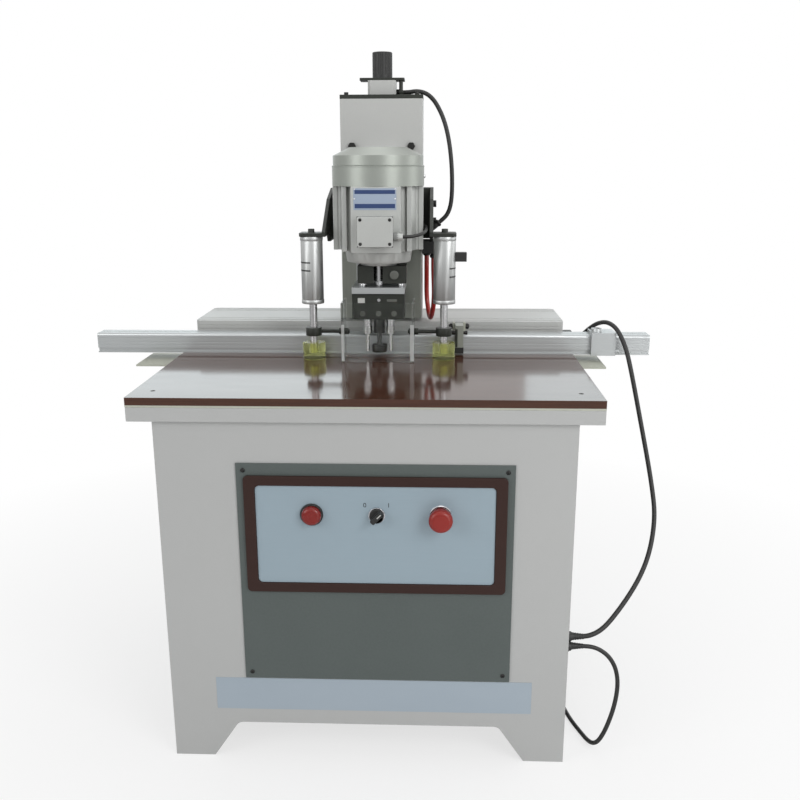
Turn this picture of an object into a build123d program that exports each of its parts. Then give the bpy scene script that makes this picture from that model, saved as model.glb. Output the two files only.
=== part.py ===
"""Hinge boring machine: a floor cabinet with a table, a fence and one pneumatic boring head.

Machine frame used below, in millimetres: X to the right with 0 on the spindle axis, Y to the back
with 0 at the table's front edge, Z up with 0 on the floor. Every node is moved to the part's own
origin, the bottom centre of the machine without its cords, when it is written.
The head and the hold-downs are drawn at rest: air off, head down on its stop, pads on the table.
"""
import os
from math import atan2, cos, hypot, pi, radians, sin, sqrt, tan

from build123d import *

# Fits and running gaps
slide_gap = 0.1
shaft_gap = 0.05
loose_gap = 0.5
piston_gap = 0.4
gib_gap = 0.3
hole_gap = 1

# Cabinet of folded sheet
cabinet_w = 808
cabinet_h = 731
cabinet_setback = 10
sheet = 2
flange_w = 25
table_shift = -8
arch_top_w = 536
arch_foot_w = 644
arch_h = 80
arch_r = 18
side_arch_top_w = 420
side_arch_foot_w = 490
foot_plate_w = 70
foot_plate_t = 6
anchor_hole_d = 13

# Table: apron tray, bed plate with side wings, laminated board
apron_h = 28
apron_floor_t = 2.5
table_w = 900
bed_t = 4
bed_back = 10
board_t = 15
wing_w = 1056
wing_front = 350
table_screw_d = 10
table_screw_inset = 39
table_screw_y = 53

# Fence
fence_l = 1270
fence_y = 412
fence_d = 50
fence_h = 45
fence_shift = -22
fence_wall = 3.5
fence_round = 5
fence_groove_h = 8
fence_groove_depth = 5
fence_lip_h = 3
fence_bracket_w = 60
fence_bracket_h = 20
fence_bracket_z = 4
fence_bracket_x = 330

# Rear beam and column
beam_gap = 18
beam_w = 870
beam_d = 196
beam_h = 79
beam_wall = 4
beam_corner_r = 14
beam_inner_chamfer = 5
column_w = 190
column_d = 110
column_h = 502
column_wall = 6
column_foot_t = 10
column_bolt_d = 12
column_bolt_head = 8
column_bolt_inset = 24
cap_t = 9
cap_screw_d = 10
cap_screw_h = 6
cap_screw_inset = 14

# Slide way and carriage
way_w = 90
way_t = 20
way_flank = 60
way_foot = 12
way_l = 380
carriage_w = 186
carriage_t = 18
carriage_l = 318
carriage_r = 3
carriage_foot = 5
gib_w = 34
face_bolt_x = 68
face_bolt_below_cap = 104
hex_bolt_d = 16
hex_bolt_head = 7

# Feed cylinder in the column, double rod, depth stop
feed_stroke = 60
feed_barrel_d = 66
feed_bore_d = 50
feed_barrel_l = 178
feed_end_t = 12
feed_rod_d = 20
feed_stud_d = 12
feed_stud_below_lug = 14
piston_t = 20
piston_rest = 3
lug_w = 26
lug_h = 30
lug_below_barrel = 76
lug_slot_spare = 5
feed_head_w = 65
feed_head_h = 33
feed_head_chamfer = 6
stop_plate_w = 103
stop_plate_d = 50
stop_plate_t = 5.5
stop_plate_r = 5
stop_stud_x = 43.5
stop_stud_inset = 9
stop_stud_d = 9
stop_nut_d = 13
stop_nut_h = 5
stop_nut_z = 6
knob_d = 46
knob_h = 57
knob_cap_t = 8
knob_flange_h = 8
knob_flutes = 16
knob_flute_r = 2.2

# Boring head: cup bit, two dowel bits, gearbox
cup_d = 35
cup_setback = 22.5
dowel_pitch = 52
dowel_offset = 5.5
dowel_d = 8
bit_rest_height = 11
cutter_h = 16
cutter_neck_h = 6
brad_h = 2.5
brad_d = 4
point_d = 0.8
shank_d = 10
gear_teeth = 13
gear_addendum = 1.2
gear_dedendum = 1.9
gear_tooth_share = 0.8
gear_pressure_angle = 20
gear_face = 16
gear_z = 22
centre_shaft_d = 15
side_shaft_d = 12
bearing_d = 24
bearing_w = 10
nose_d = 24
side_nose_d = 18
nose_l = 36
gearbox_w = 116
gearbox_front = 38.5
gearbox_d = 77
gearbox_h = 57
gearbox_wall = 8
gearbox_floor = 14
gearbox_height = 90
gearbox_chamfer = 2
bracket_t = 14
bracket_lip = 5
bracket_flange_t = 12
bracket_flange_h = 62
bracket_bolt_d = 12
bracket_bolt_inset = 14
bracket_bolt_zs = (16, 46)
standoff_h = 8
standoff_d = 14
standoff_inset = 11
housing_w = 107
housing_shift = 8
housing_front = 34.5
housing_d = 69
housing_h = 38
housing_bore_d = 48
housing_slot_w = 20
housing_chamfer = 3
housing_screw_d = 22
housing_screw_h = 4
housing_screw_inset = 26
coupling_d = 30
coupling_end_gap = 2

# Motor
motor_d = 199
motor_gap = 3
spigot_d = 80
spigot_h = 8
flange_d = 148
flange_low_d = 140
motor_flange_h = 26
motor_frame_h = 136
motor_core_d = 168
motor_bore_d = 152
motor_pad_w = 104
motor_pad_step = 1
fin_t = 10
fin_xs = (69, 93)
fin_web = 30
top_web_t = 12
motor_shaft_d = 19
motor_bearing_d = 40
motor_bearing_w = 10
rotor_d = 96
rotor_l = 85
air_gap = 1
cover_h = 80
cover_band_h = 41
cover_step = 2
cover_straight_h = 22
cover_top_d = 124
cover_wall = 2.5
cover_slots = 12
cover_slot_w = 5
fan_d = 150
fan_h = 24
fan_gap = 10
fan_blades = 8
fan_blade_t = 3
fan_hub_wall = 8
terminal_w = 74
terminal_h = 62
terminal_d = 29
terminal_r = 4
terminal_wall = 4
terminal_lid_t = 3
terminal_z = 15
terminal_gland_l = 20
terminal_gland_d = 16
terminal_gland_z = 20
lead_gland_x = 84
lead_gland_l = 16
lead_rise = 12

# Hold-downs, arms and guard
clamp_x = 145
clamp_y = 360
clamp_barrel_d = 48
clamp_bore_d = 38
clamp_barrel_z = 125
clamp_barrel_l = 146
clamp_end_t = 8
clamp_rod_d = 17
clamp_piston_t = 14
clamp_stud_d = 14
clamp_stud_h = 8
pad_d = 50
pad_h = 38
pad_floor = 14
collar_d = 35
collar_h = 18
collar_height = 53
guard_w = 160
guard_wall = 5
guard_front = 318
guard_back = 400
guard_clear = 2
guard_h = 129
guard_rod_d = 8
guard_rod_end = 2
guard_nut_d = 14
guard_nut_l = 8
arm_t = 8
arm_x = 112
arm_h = 116
arm_drop = 18
arm_nose_h = 10
arm_front = 22
arm_back = 70
arm_elbow = 85
arm_elbow_h = 94
arm_plate_t = 8
arm_plate_d = 50
arm_spacer = 64
arm_bolt_y = 44
arm_bolt_zs = (38, 78)

# Control panel
panel_shift = 12
panel_w = 536
panel_h = 462
panel_z = 186
panel_t = 2.5
panel_screw_d = 9
panel_screw_inset = 14
bezel_w = 508
bezel_h = 242
bezel_z = 382
bezel_t = 6
bezel_r = 9
window_w = 464
window_h = 203
plate_t = 3
access_w = 420
access_h = 170
control_z = 546
lamp_x = -123
selector_x = 3
estop_x = 126
ring_t = 4
stem_d = 22
stem_l = 34
lamp_ring_d = 40
lamp_d = 38
lamp_h = 12
lamp_dome = 8
selector_ring_d = 32
selector_d = 28
selector_base_t = 5
selector_grip_h = 13
selector_grip_w = 10
selector_rest_turn = 45
pilot_d = 8
estop_ring_d = 38
estop_d = 46
estop_travel = 5
estop_neck_d = 28
estop_neck_l = 12
estop_head_t = 15
estop_dome = 9
contact_w = 38
contact_h = 46
contact_d = 52

# Switchgear plate, and its boxes: how far out, then front, back, lower and upper edges
gear_plate_t = 3
gear_plate_w = 240
gear_plate_z = 300
gear_plate_h = 320
gear_boxes = ((85, -80, -20, 20, 110), (75, -78, -22, -50, 18), (80, 20, 95, -30, 80),
              (40, -90, 90, -130, -95))

# Stops on the fence
stop_w = 55
stop_from_end = 106
stop_t = 12
stop_bridge_t = 7
stop_bevel = 5
stop_gap = 0.3
stop_tongue_depth = 4
stop_screw_d = 10
stop_screw_l = 8
stop_screw_z = 9
stop_knob_d = 24
stop_knob_h = 7
stop_knob_inset = 14
stop_knob_y = 12
flip_x = 181
flip_w = 18
flip_t = 12
flip_ear_t = 5
flip_ear_half = 9
flip_pin_d = 6
flip_pin_over = 2
flip_pivot_h = 16
flip_arm_h = 14
flip_tip_clear = 4

# Electrics, air and cords
arc_share = 0.45
gland_y = 60
gland_upper_z = 262
gland_lower_z = 240
gland_l = 27
gland_nut_l = 13
gland_nut_d = 20
gland_stem_d = 15
gland_stem_l = 10
cable_d = 10
mains_d = 9
hose_d = 10
red_hose_d = 11
red_loop_r = 44
red_loop_turns = 8
red_loop_clear = 4.5
red_loop_lean = 2
red_leg_steps = 7
lead_d = 7
beam_box_w = 36
beam_box_d = 44
beam_box_h = 34
beam_box_y = 80
beam_box_z = 4
valve_w = 40
valve_d = 70
valve_h = 28
valve_y = 447
valve_out = 15
port_d = 14
port_l = 8
red_port_xs = (121, 105)
red_port_inset = 8
head_port_l = 12
head_port_z = 8
hose_fitting_y = 550
hose_fitting_z = 1056
hose_fitting_l = 17
hose_fitting_slope = 39
hose_last_run = 13
elbow_l = 24
elbow_w = 16
elbow_h = 20
elbow_below_arm = 44
coil_gap = 0.6
coil_spiral = 5
coil_inner_r = 41
coil_x = 290
coil_clear = 20
coil_tail = 56
plug_l = 46
plug_w = 34
plug_r = 6
plug_pin_l = 18
plug_pin_w = 6
plug_pin_t = 2
plug_pin_x = 8

# Levels
bed_z = cabinet_h + apron_h
board_z = bed_z + bed_t
top_z = board_z + board_t
fence_top = top_z + fence_h
column_z = board_z + beam_h
cap_z = column_z + column_h
head_z = cap_z + cap_t
stop_z = head_z + feed_head_h
knob_z = stop_z + stop_plate_t
barrel_z = cap_z - feed_barrel_l
lug_z = barrel_z - lug_below_barrel - lug_h
carriage_z = column_z + carriage_foot
tip_z = top_z + bit_rest_height
gearbox_z = top_z + gearbox_height
bracket_z = gearbox_z + gearbox_h
bracket_top = bracket_z + bracket_t
housing_z = bracket_top + standoff_h
spigot_z = housing_z + housing_h
coupling_mid = (housing_z + spigot_z) / 2
flange_z = spigot_z + spigot_h
frame_z = flange_z + motor_flange_h
cover_z = frame_z + motor_frame_h
terminal_box_z = frame_z + terminal_z
lead_z = terminal_box_z + terminal_gland_z
clamp_z = top_z + clamp_barrel_z
arm_z = clamp_z + clamp_barrel_l
arm_foot = arm_z - arm_drop
collar_z = top_z + collar_height
guard_rod_z = collar_z + collar_h / 2
bezel_mid_z = bezel_z + bezel_h / 2

# Depths
fence_back = fence_y + fence_d
fence_mid = fence_y + fence_d / 2
beam_y = fence_back + beam_gap
beam_back = beam_y + beam_d
bed_end = beam_back + bed_back
cabinet_y = cabinet_setback
cabinet_back = bed_end - cabinet_setback
cabinet_mid = (cabinet_y + cabinet_back) / 2
spindle_y = fence_y - cup_setback
side_spindle_y = spindle_y - dowel_offset
motor_pad_y = spindle_y - motor_d / 2 + motor_pad_step
lead_y = motor_pad_y - terminal_d / 2
carriage_y = spindle_y + motor_d / 2 + motor_gap
way_y = carriage_y + carriage_t
carriage_back = way_y - slide_gap
column_y = way_y + way_t
column_back = column_y + column_d
feed_y = column_y + column_d / 2
panel_y = cabinet_y - panel_t
plate_y = panel_y - plate_t
ring_y = plate_y - ring_t
stem_end = plate_y + stem_l
estop_neck_y = ring_y - loose_gap - estop_travel
estop_head_y = estop_neck_y - estop_neck_l
estop_front = estop_head_y - estop_head_t

# Widths
table_left = table_shift - table_w / 2
table_right = table_shift + table_w / 2
cabinet_left = table_shift - cabinet_w / 2
cabinet_right = table_shift + cabinet_w / 2
beam_left = table_shift - beam_w / 2
beam_right = table_shift + beam_w / 2
column_half = column_w / 2
gland_x = cabinet_right + gland_l
stop_x = fence_shift + fence_l / 2 - stop_from_end
gear_distance = hypot(dowel_pitch / 2, dowel_offset)
origin = Vector(fence_shift, (estop_front + bed_end) / 2, 0)


def block(x0, x1, y0, y1, z0, z1):
    """Box between two corners."""
    return Pos((x0 + x1) / 2, (y0 + y1) / 2, (z0 + z1) / 2) * Box(x1 - x0, y1 - y0, z1 - z0)


def post(x, y, z0, z1, r, r_top=None):
    """Upright cylinder, or a cone where the top radius differs."""
    middle = Pos(x, y, (z0 + z1) / 2)
    if r_top is None:
        return middle * Cylinder(r, z1 - z0)
    return middle * Cone(r, r_top, z1 - z0)


def bar_x(x0, x1, y, z, r, r_end=None):
    """Cylinder along X, or a cone where the far radius differs."""
    middle = Pos((x0 + x1) / 2, y, z) * Rot(0, 90, 0)
    if r_end is None:
        return middle * Cylinder(r, x1 - x0)
    return middle * Cone(r, r_end, x1 - x0)


def bar_y(y0, y1, x, z, r):
    """Cylinder along Y."""
    return Pos(x, (y0 + y1) / 2, z) * Rot(-90, 0, 0) * Cylinder(r, y1 - y0)


def plate_xz(w, h, x, z, y0, y1, corner=0):
    """Upright plate facing the front, with rounded corners where a radius is given."""
    face = RectangleRounded(w, h, corner) if corner else Rectangle(w, h)
    return Pos(x, y1, z) * extrude(Plane.XZ * face, y1 - y0)


def hexagon(across):
    """Hexagon by its width across flats."""
    return RegularPolygon(across / sqrt(3), 6)


def prism(points, plane, depth):
    """Prism of a closed outline drawn on a plane, raised along the plane's normal."""
    return extrude(make_face(plane * Polyline(*points, close=True)), depth, dir=plane.z_dir)


def about(x, y, angle, solid):
    """Turn a solid drawn at the origin and set it on an upright axis."""
    return Pos(x, y, 0) * Rot(0, 0, angle) * solid


def flip(solid):
    """Mirror image on the left of a solid drawn on the right."""
    return mirror(solid, Plane.YZ)


def save(node, *pieces):
    """Move pieces to the part's origin and write them as one node."""
    solids = []
    for piece in pieces:
        solids += piece.solids()
    moved = [Pos(*(-origin)) * solid for solid in solids]
    export_step(moved[0] if len(moved) == 1 else Compound(moved), f"parts/{node}.step")


def panel_screw_places():
    """Centres of the four screws of the front panel."""
    places = []
    for side in (-1, 1):
        for z in (panel_z + panel_screw_inset, panel_z + panel_h - panel_screw_inset):
            places.append((panel_shift + side * (panel_w / 2 - panel_screw_inset), z))
    return places


def arch_cut(top_w, foot_w, depth):
    """Toe space with slanted sides and rounded top corners, pushed through along Y."""
    points = [(-foot_w / 2, 0), (-top_w / 2, arch_h), (top_w / 2, arch_h), (foot_w / 2, 0)]
    face = make_face(Plane.XZ * Polyline(*points, close=True))
    face = fillet(face.vertices().group_by(Axis.Z)[-1], arch_r)
    return extrude(face, depth / 2, both=True)


def cabinet():
    """Front sheet with its returns, and the wrap of sides and back with welded feet."""
    left = cabinet_left + sheet
    right = cabinet_right - sheet
    inner_front = cabinet_y + sheet
    inner_back = cabinet_back - sheet
    rim_z = cabinet_h - sheet
    middle = Pos(table_shift, cabinet_mid, 0)
    arch = middle * arch_cut(arch_top_w, arch_foot_w, 2 * cabinet_back)
    front = block(cabinet_left, cabinet_right, cabinet_y, inner_front, 0, cabinet_h)
    for x in (left, right - sheet):
        front += block(x, x + sheet, inner_front, inner_front + flange_w, foot_plate_t, rim_z)
    front += block(left + flange_w, right - flange_w, inner_front, inner_front + flange_w, rim_z, cabinet_h)
    for x, z in panel_screw_places():
        front -= bar_y(cabinet_y, inner_front, x, z, panel_screw_d / 4)
    front -= plate_xz(access_w, access_h, panel_shift, bezel_mid_z, cabinet_y, inner_front)
    save("cabinet_front", front - arch)

    shell = block(cabinet_left, cabinet_right, inner_back, cabinet_back, 0, cabinet_h)
    for x in (cabinet_left, right):
        shell += block(x, x + sheet, inner_front, cabinet_back, 0, cabinet_h)
    for x in (left, right - flange_w):
        shell += block(x, x + flange_w, inner_front, inner_back, rim_z, cabinet_h)
    shell += block(left + flange_w, right - flange_w, inner_back - flange_w, inner_back, rim_z, cabinet_h)
    shell -= arch
    shell -= middle * Rot(0, 0, 90) * arch_cut(side_arch_top_w, side_arch_foot_w, 2 * cabinet_w)
    half = foot_plate_w / 2
    for x in (left + half, right - half):
        for y in (inner_front + half, inner_back - half):
            shell += block(x - half, x + half, y - half, y + half, 0, foot_plate_t)
            shell -= post(x, y, 0, foot_plate_t, anchor_hole_d / 2)
    for z in (gland_upper_z, gland_lower_z):
        shell -= bar_x(right, cabinet_right, gland_y, z, gland_stem_d / 2 + slide_gap)
    save("cabinet_shell", shell)


def table():
    """Apron tray on the cabinet, bed plate with wings, board and its countersunk screws."""
    tray = block(table_left, table_right, 0, bed_end, cabinet_h, bed_z)
    tray -= block(table_left + sheet, table_right - sheet, sheet, bed_end - sheet,
                  cabinet_h + apron_floor_t, bed_z)
    rim = sheet + flange_w
    tray -= block(cabinet_left + rim, cabinet_right - rim, cabinet_y + rim, cabinet_back - rim,
                  cabinet_h, bed_z)
    save("apron", tray)

    bed = block(table_left, table_right, 0, bed_end, bed_z, board_z)
    bed += block(fence_shift - wing_w / 2, fence_shift + wing_w / 2, wing_front, beam_y, bed_z, board_z)
    board = block(table_left, table_right, 0, beam_y, board_z, top_z)
    screws = []
    shank_r = table_screw_d / 4
    for x in (table_left + table_screw_inset, table_right - table_screw_inset):
        for y in (table_screw_y, fence_mid):
            screw = post(x, y, top_z - shank_r, top_z, shank_r, table_screw_d / 2)
            screw += post(x, y, bed_z, top_z - shank_r, shank_r)
            board -= screw
            bed -= screw
            screws.append(screw)
    save("bed_plate", bed)
    save("table_top", board)
    for x, z in panel_screw_places():
        screw = bar_y(panel_y - panel_t, panel_y, x, z, panel_screw_d / 2)
        screws.append(screw + bar_y(panel_y, cabinet_y + sheet, x, z, panel_screw_d / 4))
    save("cover_screws", *screws)


def control_panel():
    """Panel plate, raised bezel, control plate, rings of the control stations, switchgear."""
    panel = plate_xz(panel_w, panel_h, panel_shift, panel_z + panel_h / 2, panel_y, cabinet_y)
    panel -= plate_xz(access_w, access_h, panel_shift, bezel_mid_z, panel_y, cabinet_y)
    for x, z in panel_screw_places():
        panel -= bar_y(panel_y, cabinet_y, x, z, panel_screw_d / 4)
    save("front_panel", panel)
    bezel = plate_xz(bezel_w, bezel_h, panel_shift, bezel_mid_z, panel_y - bezel_t, panel_y, bezel_r)
    bezel -= plate_xz(window_w, window_h, panel_shift, bezel_mid_z, panel_y - bezel_t, panel_y, bezel_r)
    save("control_bezel", bezel)

    plate = plate_xz(window_w - loose_gap, window_h - loose_gap, panel_shift, bezel_mid_z,
                     plate_y, panel_y, bezel_r)
    rings = []
    boxes = []
    for station_x, ring_d in ((lamp_x, lamp_ring_d), (selector_x, selector_ring_d), (estop_x, estop_ring_d)):
        x = panel_shift + station_x
        plate -= bar_y(plate_y, panel_y, x, control_z, stem_d / 2 + slide_gap)
        ring = bar_y(ring_y, plate_y, x, control_z, ring_d / 2)
        ring += bar_y(plate_y, stem_end, x, control_z, stem_d / 2)
        rings.append(ring - bar_y(ring_y, stem_end, x, control_z, pilot_d / 2 + shaft_gap))
        boxes.append(plate_xz(contact_w, contact_h, x, control_z, stem_end, stem_end + contact_d))
    save("control_plate", plate)
    save("control_collars", *rings)

    wall_x = cabinet_left + sheet
    face_x = wall_x + gear_plate_t
    mid_z = gear_plate_z + gear_plate_h / 2
    half = gear_plate_w / 2
    boxes.append(block(wall_x, face_x, cabinet_mid - half, cabinet_mid + half,
                       gear_plate_z, gear_plate_z + gear_plate_h))
    for out, y0, y1, z0, z1 in gear_boxes:
        boxes.append(block(face_x, face_x + out, cabinet_mid + y0, cabinet_mid + y1, mid_z + z0, mid_z + z1))
    save("switchgear", *boxes)


def controls():
    """Lamp lens, selector knob and emergency stop button."""
    x = panel_shift + lamp_x
    lens = bar_y(ring_y - lamp_h, ring_y, x, control_z, lamp_d / 2)
    lens = fillet(lens.edges().group_by(Axis.Y)[0], lamp_dome)
    save("lamp_lens", lens + bar_y(ring_y, stem_end, x, control_z, pilot_d / 2))

    x = panel_shift + selector_x
    base_y = ring_y - slide_gap
    grip_y = base_y - selector_base_t
    knob = bar_y(grip_y, base_y, x, control_z, selector_d / 2)
    grip = plate_xz(selector_grip_w, selector_d - 2, 0, 0, grip_y - selector_grip_h, grip_y)
    grip = fillet(grip.edges().filter_by(Axis.Y), selector_grip_w / 4)
    knob += Pos(x, 0, control_z) * Rot(0, selector_rest_turn, 0) * grip
    save("selector_knob", knob + bar_y(base_y, stem_end - loose_gap, x, control_z, pilot_d / 2))

    x = panel_shift + estop_x
    button = bar_y(estop_front, estop_head_y, x, control_z, estop_d / 2)
    button = fillet(button.edges().group_by(Axis.Y)[0], estop_dome)
    button += bar_y(estop_head_y, estop_neck_y, x, control_z, estop_neck_d / 2)
    plunger_end = stem_end - estop_travel - loose_gap
    save("estop_button", button + bar_y(estop_neck_y, plunger_end, x, control_z, pilot_d / 2))


def beam_walls(roof_z):
    """Upright walls of the rear beam: four flat ones and a bent one in each corner."""
    ring = block(beam_left, beam_right, beam_y, beam_back, board_z, roof_z)
    ring = fillet(ring.edges().filter_by(Axis.Z), beam_corner_r)
    hollow = block(beam_left + beam_wall, beam_right - beam_wall, beam_y + beam_wall, beam_back - beam_wall,
                   board_z, roof_z)
    ring -= chamfer(hollow.edges().filter_by(Axis.Z), beam_inner_chamfer)
    end = beam_wall + beam_inner_chamfer
    walls = []
    for x0, x1 in ((beam_left, beam_left + end), (beam_right - end, beam_right)):
        for y0, y1 in ((beam_y, beam_y + end), (beam_y + end, beam_back - end), (beam_back - end, beam_back)):
            walls.append(ring & block(x0, x1, y0, y1, board_z, roof_z))
    for y0, y1 in ((beam_y, beam_y + end), (beam_back - end, beam_back)):
        walls.append(ring & block(beam_left + end, beam_right - end, y0, y1, board_z, roof_z))
    return walls


def beam_and_column():
    """Hollow rear beam, welded box column with its cap, slide way and the bolts of the frame."""
    roof_z = column_z - beam_wall
    roof = block(beam_left, beam_right, beam_y, beam_back, roof_z, column_z)
    roof = fillet(roof.edges().filter_by(Axis.Z), beam_corner_r)

    inner_half = column_half - column_wall
    inner_y = column_y + column_wall
    inner_back = column_back - column_wall
    nut_z = column_z + column_foot_t
    side = block(inner_half, column_half, column_y, column_back, column_z, cap_z)
    side = fillet(side.edges().filter_by(Axis.Z).group_by(Axis.X)[-1], column_wall / 2)
    face = block(-inner_half, inner_half, column_y, inner_y, column_z, cap_z)
    rear = block(-inner_half, inner_half, inner_back, column_back, column_z, cap_z)
    foot = block(-inner_half, inner_half, inner_y, inner_back, column_z, nut_z)
    slot_half = lug_w / 2 + hole_gap
    slot = block(-slot_half, slot_half, way_y, inner_y,
                 lug_z - lug_slot_spare, lug_z + lug_h + feed_stroke + lug_slot_spare)
    bolts = []
    for x in (-column_half + column_bolt_inset, column_half - column_bolt_inset):
        for y in (column_y + column_bolt_inset, column_back - column_bolt_inset):
            shank = post(x, y, roof_z, nut_z, column_bolt_d / 2)
            bolts.append(shank + Pos(x, y, nut_z) * extrude(hexagon(1.6 * column_bolt_d), column_bolt_head))
            foot -= shank
            roof -= shank
    save("rear_beam", roof, *beam_walls(roof_z))
    save("column", flip(side), side, face - slot, rear, foot)

    cap = block(-column_half, column_half, column_y, column_back, cap_z, head_z)
    save("column_cap", cap - post(0, feed_y, cap_z, head_z, feed_rod_d / 2 + hole_gap))
    for x in (-column_half + cap_screw_inset, column_half - cap_screw_inset):
        for y in (column_y + cap_screw_inset, column_back - cap_screw_inset):
            bolts.append(post(x, y, head_z, head_z + cap_screw_h, cap_screw_d / 2))
    arm_out = arm_x + arm_t
    for z in arm_bolt_zs:
        head = bar_x(arm_out, arm_out + hex_bolt_head, column_y + arm_bolt_y, arm_foot + z, hex_bolt_d / 2)
        bolts += [flip(head), head]
    for x in (-face_bolt_x, face_bolt_x):
        face_place = Pos(x, column_y, cap_z - face_bolt_below_cap)
        bolts.append(face_place * extrude(Plane.XZ * hexagon(hex_bolt_d), hex_bolt_head))
    save("frame_bolts", *bolts)

    front_half = way_w / 2
    back_half = front_half - way_t / tan(radians(way_flank))
    profile = [(-front_half, way_y), (front_half, way_y), (back_half, column_y), (-back_half, column_y)]
    save("dovetail_way", Pos(0, 0, column_z + way_foot) * prism(profile, Plane.XY, way_l) - slot)


def feed_drive():
    """Feed cylinder hung in the column, its visible head, the double rod, stop and knob."""
    bore_r = feed_bore_d / 2
    rod_r = feed_rod_d / 2
    stud_r = feed_stud_d / 2
    barrel = post(0, feed_y, barrel_z, cap_z, feed_barrel_d / 2)
    barrel -= post(0, feed_y, barrel_z + feed_end_t, cap_z, bore_r)
    save("feed_cylinder", barrel - post(0, feed_y, barrel_z, cap_z, rod_r + shaft_gap))

    half = feed_head_w / 2
    head = block(-half, half, feed_y - half, feed_y + half, head_z, stop_z - loose_gap)
    head = chamfer(head.edges().filter_by(Axis.Z), feed_head_chamfer)
    save("cylinder_head", head - post(0, feed_y, head_z, stop_z, rod_r + shaft_gap))

    piston_z = barrel_z + feed_end_t + piston_rest
    stud_top = knob_z + knob_h - knob_cap_t
    rod = post(0, feed_y, lug_z + lug_h, stop_z, rod_r)
    rod += post(0, feed_y, piston_z, piston_z + piston_t, bore_r - piston_gap)
    rod += post(0, feed_y, lug_z - feed_stud_below_lug, lug_z + lug_h, stud_r)
    save("feed_rod", rod + post(0, feed_y, stop_z, stud_top, stud_r))

    front = feed_y - stop_plate_d / 2
    plate = block(-stop_plate_w / 2, stop_plate_w / 2, front, front + stop_plate_d, stop_z, knob_z)
    plate = fillet(plate.edges().filter_by(Axis.Z), stop_plate_r)
    plate -= post(0, feed_y, stop_z, knob_z, stud_r)
    stud_y = front + stop_stud_inset
    stud = post(stop_stud_x, stud_y, head_z, stop_z, stop_stud_d / 2)
    stud += Pos(stop_stud_x, stud_y, head_z + stop_nut_z) * extrude(hexagon(stop_nut_d), stop_nut_h)
    save("depth_stop", plate, stud)

    knob = post(0, feed_y, knob_z, knob_z + knob_h, knob_d / 2)
    knob = fillet(knob.edges().group_by(Axis.Z)[-1], knob_flute_r)
    flute = post(knob_d / 2 + knob_flute_r / 2, 0, knob_z + knob_flange_h, knob_z + knob_h, knob_flute_r)
    for k in range(knob_flutes):
        knob -= about(0, feed_y, 360 * k / knob_flutes, flute)
    save("depth_knob", knob - post(0, feed_y, knob_z, stud_top + loose_gap, stud_r + shaft_gap))


def carriage():
    """Carriage plate, gib strips on the way, the lug that the feed rod pulls, bolts of the head."""
    half = carriage_w / 2
    plate = block(-half, half, carriage_y, carriage_back, carriage_z, carriage_z + carriage_l)
    save("carriage_plate", fillet(plate.edges().filter_by(Axis.Z), carriage_r))

    gib_back = column_y - gib_gap
    inner_front = way_w / 2 + slide_gap
    inner_back = inner_front - (gib_back - way_y) / tan(radians(way_flank))
    profile = [(inner_front, carriage_back), (inner_front + gib_w, carriage_back),
               (inner_front + gib_w, gib_back), (inner_back, gib_back)]
    gib = Pos(0, 0, carriage_z) * prism(profile, Plane.XY, carriage_l)
    lug = block(-lug_w / 2, lug_w / 2, carriage_back, feed_y + lug_w / 2, lug_z, lug_z + lug_h)
    lug -= post(0, feed_y, lug_z, lug_z + lug_h, feed_stud_d / 2)
    save("carriage_slides", flip(gib), gib, lug)

    bolts = []
    flange_y = carriage_y - bracket_flange_t
    for x in (-gearbox_w / 2 + bracket_bolt_inset, gearbox_w / 2 - bracket_bolt_inset):
        for z in bracket_bolt_zs:
            bolts.append(bar_y(flange_y - hex_bolt_head, flange_y, x, bracket_top + z, bracket_bolt_d / 2))
    reach = housing_w / 2 - standoff_inset
    for x in (housing_shift - reach, housing_shift + reach):
        for y in (standoff_inset, housing_d - standoff_inset):
            bolts.append(post(x, spindle_y - housing_front + y, bracket_top, housing_z, standoff_d / 2))
    save("head_bolts", *bolts)


def gear(phase):
    """Spur gear about the origin with straight tooth flanks and running backlash."""
    pitch_r = gear_distance / 2
    half_tooth = gear_tooth_share * pi / (2 * gear_teeth)
    flank = tan(radians(gear_pressure_angle)) / pitch_r
    tip_half = half_tooth - gear_addendum * flank
    root_half = half_tooth + gear_dedendum * flank
    tip_r = pitch_r + gear_addendum
    root_r = pitch_r - gear_dedendum
    points = []
    for k in range(gear_teeth):
        a = phase + 2 * pi * k / gear_teeth
        for turn, r in ((-root_half, root_r), (-tip_half, tip_r), (tip_half, tip_r), (root_half, root_r)):
            points.append((r * cos(a + turn), r * sin(a + turn)))
    return Pos(0, 0, gearbox_z + gear_z) * prism(points, Plane.XY, gear_face)


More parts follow.
